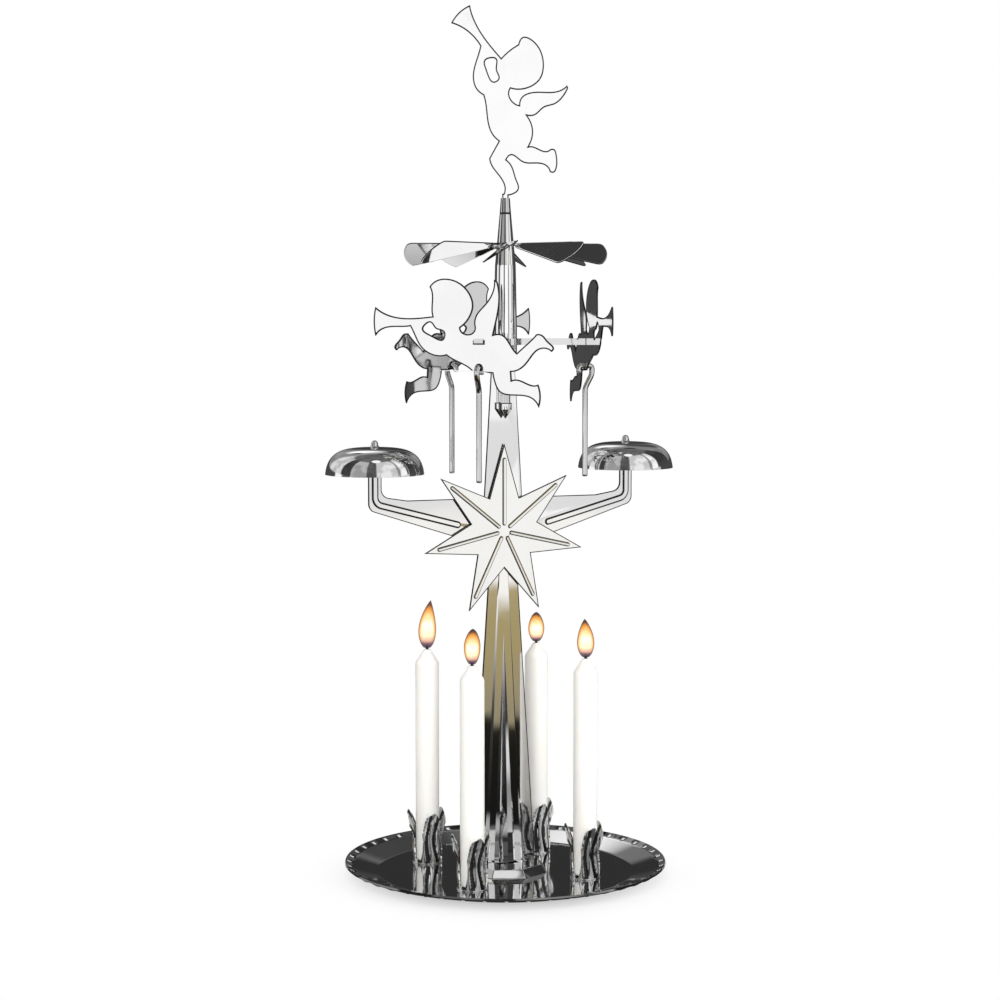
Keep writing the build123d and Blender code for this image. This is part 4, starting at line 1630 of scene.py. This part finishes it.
@dataclass
class Lamp:
    """A soft box.

    Attributes:
        name: Name of the lamp.
        place: Where it stands.
        size: Length of its sides.
        power: Its power in watts.
    """

    name: str
    place: Triple
    size: float
    power: float

    def dress(self, aim: Vector) -> None:
        """Add the lamp.

        Args:
            aim: The point that it is turned to.
        """
        light = bpy.data.lights.new(self.name, "AREA")
        light.size = self.size
        light.energy = self.power
        lamp = bpy.data.objects.new(self.name, light)
        lamp.location = self.place
        lamp.rotation_euler = (aim - lamp.location).to_track_quat("-Z", "Y").to_euler()
        lamp.visible_glossy = False
        bpy.context.scene.collection.objects.link(lamp)


@dataclass
class Studio:
    """Camera, room, floor and lamps.

    Attributes:
        eye: Where the camera stands.
        tilt: Its tilt from straight down, in degrees.
        heading: Its heading, in degrees.
        lens: Its focal length, in millimetres.
        sensor: Width of its sensor, in millimetres.
        clip_start: Least distance that it sees.
        floor_radius: Radius of the floor.
        floor_steps: Steps round the floor.
        floor_grey: Grey of the floor under the object.
        floor_roughness: Its roughness.
        shadow_reach: Distance over which the floor fades to white.
        gradient_reach: Distance that the floor's painted reflection runs over.
        warm_blur: Width, in degrees, of the edges of the floor's warm sector.
        back_blur: Width of the edges of its back sector.
        soft_light: Grey of the room's even light.
        clutter_scale: Patches of the room per unit of direction.
        clutter_detail: Octaves of the patches.
        clutter_range: Noise of the darkest and of the brightest patches.
        clutter_shade: Their brightness.
        wall_range: Elevations, in degrees, between which the wall takes over from the horizon.
        ceiling_range: Elevations between which the ceiling takes over from the wall.
        ceiling: Grey of the ceiling.
        aim: The point that the lamps are turned to.
    """

    eye: Triple = (-0.3036, -0.7152, 0.1912)
    tilt: float = 85.48
    heading: float = -22.867
    lens: float = 82.0
    sensor: float = 36.0
    clip_start: float = 0.01
    floor_radius: float = 4.0
    floor_steps: int = 96
    floor_grey: float = 0.9
    floor_roughness: float = 0.9
    shadow_reach: float = 0.078
    gradient_reach: float = 2.0
    warm_blur: float = 6.0
    back_blur: float = 10.0
    soft_light: float = 0.42
    clutter_scale: float = 3.2
    clutter_detail: float = 3.0
    clutter_range: Point = (0.42, 0.6)
    clutter_shade: Point = (0.75, 1.1)
    wall_range: Point = (8.0, 9.5)
    ceiling_range: Point = (58.0, 64.0)
    ceiling: float = 0.13
    aim: Triple = (0.0, 0.0, 0.13)

    def place_camera(self) -> None:
        """Stand the camera at the photograph's angle."""
        camera = bpy.data.cameras.new("camera")
        camera.lens = self.lens
        camera.sensor_width = self.sensor
        camera.clip_start = self.clip_start
        stand = bpy.data.objects.new("camera", camera)
        stand.location = self.eye
        stand.rotation_euler = (math.radians(self.tilt), 0, math.radians(self.heading))
        bpy.context.scene.collection.objects.link(stand)
        bpy.context.scene.camera = stand

    def paint_room(self) -> None:
        """Paint a white room whose reflection has the dark flags and strip lights of a metal studio."""
        world = bpy.data.worlds.new("room")
        bpy.context.scene.world = world
        world.use_nodes = True
        tree = world.node_tree
        path = add_node(tree, "LightPath")
        place = add_node(tree, "TexCoord")
        turn, rise = add_bearing(tree, place.outputs["Generated"])
        level = add_ramp(tree, bearing_stops(HORIZON_BANDS))
        block = add_ramp(tree, bearing_stops(BLOCK_BANDS))
        clutter = add_node(tree, "TexNoise", {"Scale": self.clutter_scale, "Detail": self.clutter_detail})
        patches = add_range(tree, *self.clutter_range, *self.clutter_shade, interpolation_type="SMOOTHSTEP")
        cloudy = add_node(tree, "VectorMath", operation="SCALE")
        above = self.mixed_at(tree, rise, *self.wall_range)
        overhead = self.mixed_at(tree, rise, *self.ceiling_range)
        overhead.inputs["B"].default_value = grey(self.ceiling)
        shown = above.outputs["Result"]
        for card in CARDS:
            shown = self.hung_card(tree, place.outputs["Generated"], shown, *card)
        glossy = add_node(tree, "Mix", {"A": grey(self.soft_light)}, data_type="RGBA")
        seen = add_node(tree, "Mix", {"B": grey(1.0)}, data_type="RGBA")
        link_nodes(tree, (
            (place.outputs["Generated"], clutter.inputs["Vector"]),
            (clutter.outputs["Fac"], patches.inputs["Value"]),
            (turn, level.inputs["Fac"]),
            (turn, block.inputs["Fac"]),
            (block.outputs["Color"], overhead.inputs["A"]),
            (overhead.outputs["Result"], cloudy.inputs["Vector"]),
            (patches.outputs["Result"], cloudy.inputs["Scale"]),
            (level.outputs["Color"], above.inputs["A"]),
            (cloudy.outputs["Vector"], above.inputs["B"]),
            (path.outputs["Is Glossy Ray"], glossy.inputs["Factor"]),
            (shown, glossy.inputs["B"]),
            (path.outputs["Is Camera Ray"], seen.inputs["Factor"]),
            (glossy.outputs["Result"], seen.inputs["A"]),
            (seen.outputs["Result"], tree.nodes["Background"].inputs["Color"]),
        ))

    def mixed_at(
        self, tree: bpy.types.NodeTree, rise: bpy.types.NodeSocket, start: float, end: float
    ) -> bpy.types.Node:
        """Add a colour mix that runs from its first to its second colour over a range of elevation.

        Args:
            tree: The world's node tree.
            rise: Sine of the elevation.
            start: Elevation, in degrees, where the second colour starts.
            end: Elevation where it has taken over.

        Returns:
            The mix node.
        """
        share = add_range(tree, math.sin(math.radians(start)), math.sin(math.radians(end)))
        mix = add_node(tree, "Mix", data_type="RGBA")
        link_nodes(tree, ((rise, share.inputs["Value"]), (share.outputs["Result"], mix.inputs["Factor"])))
        return mix

    def hung_card(
        self,
        tree: bpy.types.NodeTree,
        bearing: bpy.types.NodeSocket,
        behind: bpy.types.NodeSocket,
        azimuth: float,
        elevation: float,
        spread: float,
        blur: float,
        value: float,
    ) -> bpy.types.NodeSocket:
        """Hang a round grey card in the room.

        Args:
            tree: The world's node tree.
            bearing: Direction of the ray.
            behind: Colour of the room behind the card.
            azimuth: Azimuth of its middle, in degrees.
            elevation: Elevation of its middle.
            spread: Angle from its middle to its edge.
            blur: Half the angle over which its edge fades.
            value: Its grey.

        Returns:
            Colour of the room with the card.
        """
        level = math.cos(math.radians(elevation))
        turn = math.radians(azimuth)
        middle = (level * math.cos(turn), level * math.sin(turn), math.sin(math.radians(elevation)))
        near = add_node(tree, "VectorMath", {1: middle}, operation="DOT_PRODUCT")
        share = add_range(tree, math.cos(math.radians(spread + blur)), math.cos(math.radians(spread - blur)))
        mix = add_node(tree, "Mix", {"B": grey(value)}, data_type="RGBA")
        link_nodes(tree, (
            (bearing, near.inputs[0]),
            (near.outputs["Value"], share.inputs["Value"]),
            (share.outputs["Result"], mix.inputs["Factor"]),
            (behind, mix.inputs["A"]),
        ))
        return mix.outputs["Result"]

    def floor_material(self) -> bpy.types.Material:
        """Pale floor that keeps the shadow near the object and fades to the white room; glossy rays see a
        painted reflection on it, a glow in rings and sectors.

        Returns:
            The floor's material.
        """
        material, tree, shader = new_material("pale_floor")
        shader.inputs["Base Color"].default_value = grey(self.floor_grey)
        shader.inputs["Roughness"].default_value = self.floor_roughness
        shader.inputs["Specular IOR Level"].default_value = 0.0
        path = add_node(tree, "LightPath")
        place = add_node(tree, "TexCoord")
        reach = add_node(tree, "VectorMath", operation="LENGTH")
        fade = add_range(tree, 0.0, self.shadow_reach, interpolation_type="SMOOTHSTEP")
        share = add_node(tree, "Math", {1: self.gradient_reach}, operation="DIVIDE")
        warm, plain, back = (
            add_ramp(tree, stops) for stops in (WARM_FLOOR_STOPS, PLAIN_FLOOR_STOPS, BACK_FLOOR_STOPS)
        )
        turn, _ = add_bearing(tree, place.outputs["Object"])
        sector = add_ramp(tree, bearing_stops(WARM_SECTOR, self.warm_blur))
        behind = add_ramp(tree, bearing_stops(BACK_SECTOR, self.back_blur))
        tint = add_node(tree, "Mix", data_type="RGBA")
        whole = add_node(tree, "Mix", data_type="RGBA")
        white = add_node(tree, "Emission")
        # Painted reflection: a glow that only glossy rays see.
        mirrored = add_node(tree, "Emission")
        far, camera, glossy = (add_node(tree, "MixShader") for _ in range(3))
        link_nodes(tree, (
            (place.outputs["Object"], reach.inputs[0]),
            (reach.outputs["Value"], fade.inputs["Value"]),
            (reach.outputs["Value"], share.inputs[0]),
            (share.outputs["Value"], warm.inputs["Fac"]),
            (share.outputs["Value"], plain.inputs["Fac"]),
            (share.outputs["Value"], back.inputs["Fac"]),
            (turn, sector.inputs["Fac"]),
            (turn, behind.inputs["Fac"]),
            (sector.outputs["Color"], tint.inputs["Factor"]),
            (plain.outputs["Color"], tint.inputs["A"]),
            (warm.outputs["Color"], tint.inputs["B"]),
            (behind.outputs["Color"], whole.inputs["Factor"]),
            (tint.outputs["Result"], whole.inputs["A"]),
            (back.outputs["Color"], whole.inputs["B"]),
            (whole.outputs["Result"], mirrored.inputs["Color"]),
            (fade.outputs["Result"], far.inputs["Fac"]),
            (shader.outputs["BSDF"], far.inputs[1]),
            (white.outputs["Emission"], far.inputs[2]),
            (path.outputs["Is Camera Ray"], camera.inputs["Fac"]),
            (shader.outputs["BSDF"], camera.inputs[1]),
            (far.outputs["Shader"], camera.inputs[2]),
            (path.outputs["Is Glossy Ray"], glossy.inputs["Fac"]),
            (camera.outputs["Shader"], glossy.inputs[1]),
            (mirrored.outputs["Emission"], glossy.inputs[2]),
            (glossy.outputs["Shader"], tree.nodes["Material Output"].inputs["Surface"]),
        ))
        return material

    def lay_floor(self) -> None:
        """Lay the floor under the object."""
        shape = bmesh.new()
        bmesh.ops.create_circle(shape, cap_ends=True, segments=self.floor_steps, radius=self.floor_radius)
        mesh = bpy.data.meshes.new("floor")
        shape.to_mesh(mesh)
        shape.free()
        mesh.materials.append(self.floor_material())
        floor = bpy.data.objects.new("floor", mesh)
        bpy.context.scene.collection.objects.link(floor)

    def dress(self) -> None:
        """Set up the whole studio."""
        self.place_camera()
        self.paint_room()
        self.lay_floor()
        for lamp in (
            Lamp("key", (-1.1, -1.85, 1.4), 1.4, 44.0),
            Lamp("fill", (1.2, -1.6, 0.9), 1.6, 24.0),
            Lamp("rim", (0.6, 1.8, 1.4), 1.2, 8.0),
        ):
            lamp.dress(Vector(self.aim))
        bpy.context.scene.view_settings.view_transform = "Standard"


def main() -> None:
    """Dress the frame."""
    logging.basicConfig(level=logging.INFO)
    bright = Plating("bright_plating", grey(0.98), grey(0.94)).material()
    # Dark plating painted as shade on edges, borders and the clips' grooves; it also darkens the tube's top
    # band.
    painted_shade_finish = Plating("painted_dark_plating", grey(0.08), grey(0.05), 0.25, 0.4).material()
    satin = Plating(
        "satin_plating", (0.97, 0.965, 0.945, 1.0), (0.96, 0.95, 0.92, 1.0), 0.07, 0.13, lean=0.06
    ).material()
    # Darker copy of the plating for the tray and its collar: painted shade.
    shaded_tray_plating = Plating("tray_plating", grey(0.75), grey(0.66), 0.04, 0.1).material()
    # The clips' smears are far darker than their clean plating: painted shade, spread by noise.
    plating_with_painted_shade = Plating("clip_plating", grey(0.95), grey(0.35), 0.04, 0.08).material()
    # Pale, rough plating that paints a highlight in each dent of the rim.
    dent_highlight = Plating("painted_dent_highlights", grey(0.88), grey(0.84), 0.5, 0.6, metallic=0.2).material()
    # The rim's plating is painted dark as shade.
    rim = Plating("rim_plating", grey(0.3), grey(0.22), 0.04, 0.1).material()
    # Darker copy of the plating for the wires, pin, socket and carrier: painted shade.
    wire = Plating("wire_plating", grey(0.76), grey(0.68), 0.06, 0.1, ripple_depth=0.0).material()
    Tray().dress(shaded_tray_plating, rim, dent_highlight)
    post = SheetPiece(
        "post", "folded_post", "stand", FRONT,
        border=0.3 * MM, drop=0.1 * MM, broad=0.35, even=False, holes=True,
    )
    star = SheetPiece("star", "pressed_star", "stand", FRONT, border=0.3 * MM, drop=0.06 * MM)
    wheel = SheetPiece(
        "turbine_wheel", "pitched_wheel", "rotor", None, border=0.25 * MM, drop=0.04 * MM, even=False
    )
    angels = [
        SheetPiece(f"angel_{number}", f"trumpet_angel_{number}", "rotor", azimuth)
        for number, azimuth in enumerate(ANGEL_AZIMUTHS, 1)
    ]
    top_angel = SheetPiece("top_angel", "crowning_angel", "rotor", TOP_AZIMUTH)
    for sheet in (post, star, wheel, *angels, top_angel):
        sheet.dress(satin if sheet is star else bright, painted_shade_finish)
    for node in ("bell_left", "bell_right"):
        Bell(node).dress(bright)
    DrawnTube().dress(bright, painted_shade_finish)
    for node, name, body in (
        ("spindle_pin", "needle_pin", "stand"),
        ("top_socket", "slotted_socket", "rotor"),
        ("angel_carrier", "folded_carrier", "rotor"),
    ):
        RoundCopy(node, name, body).dress(wire)
    for number, azimuth in enumerate(ANGEL_AZIMUTHS, 1):
        Striker(number, azimuth).dress(wire)
    wax = Wax().material()
    cotton = CharredCotton().material()
    flames = (
        Flame(10.4 * MM, 2.85 * MM, 0.45, 0.6, 0.0),
        Flame(16.6 * MM, 3.1 * MM, 0.36, 0.9, 1.3 * MM),
        Flame(11.8 * MM, 2.75 * MM, 0.5, 0.62, 0.3 * MM),
        Flame(13.0 * MM, 2.95 * MM, 0.38, 0.85, -0.4 * MM),
    )
    for number, flame in enumerate(flames, 1):
        Clip(number).dress(plating_with_painted_shade, painted_shade_finish)
        Candle(number, flame).dress(wax, cotton)
    for node in ("pivot_cup", "holder_rivets"):
        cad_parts[node].data.materials.clear()
        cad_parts[node].data.materials.append(bright)
    Studio().dress()


if __name__ == "__main__":
    main()
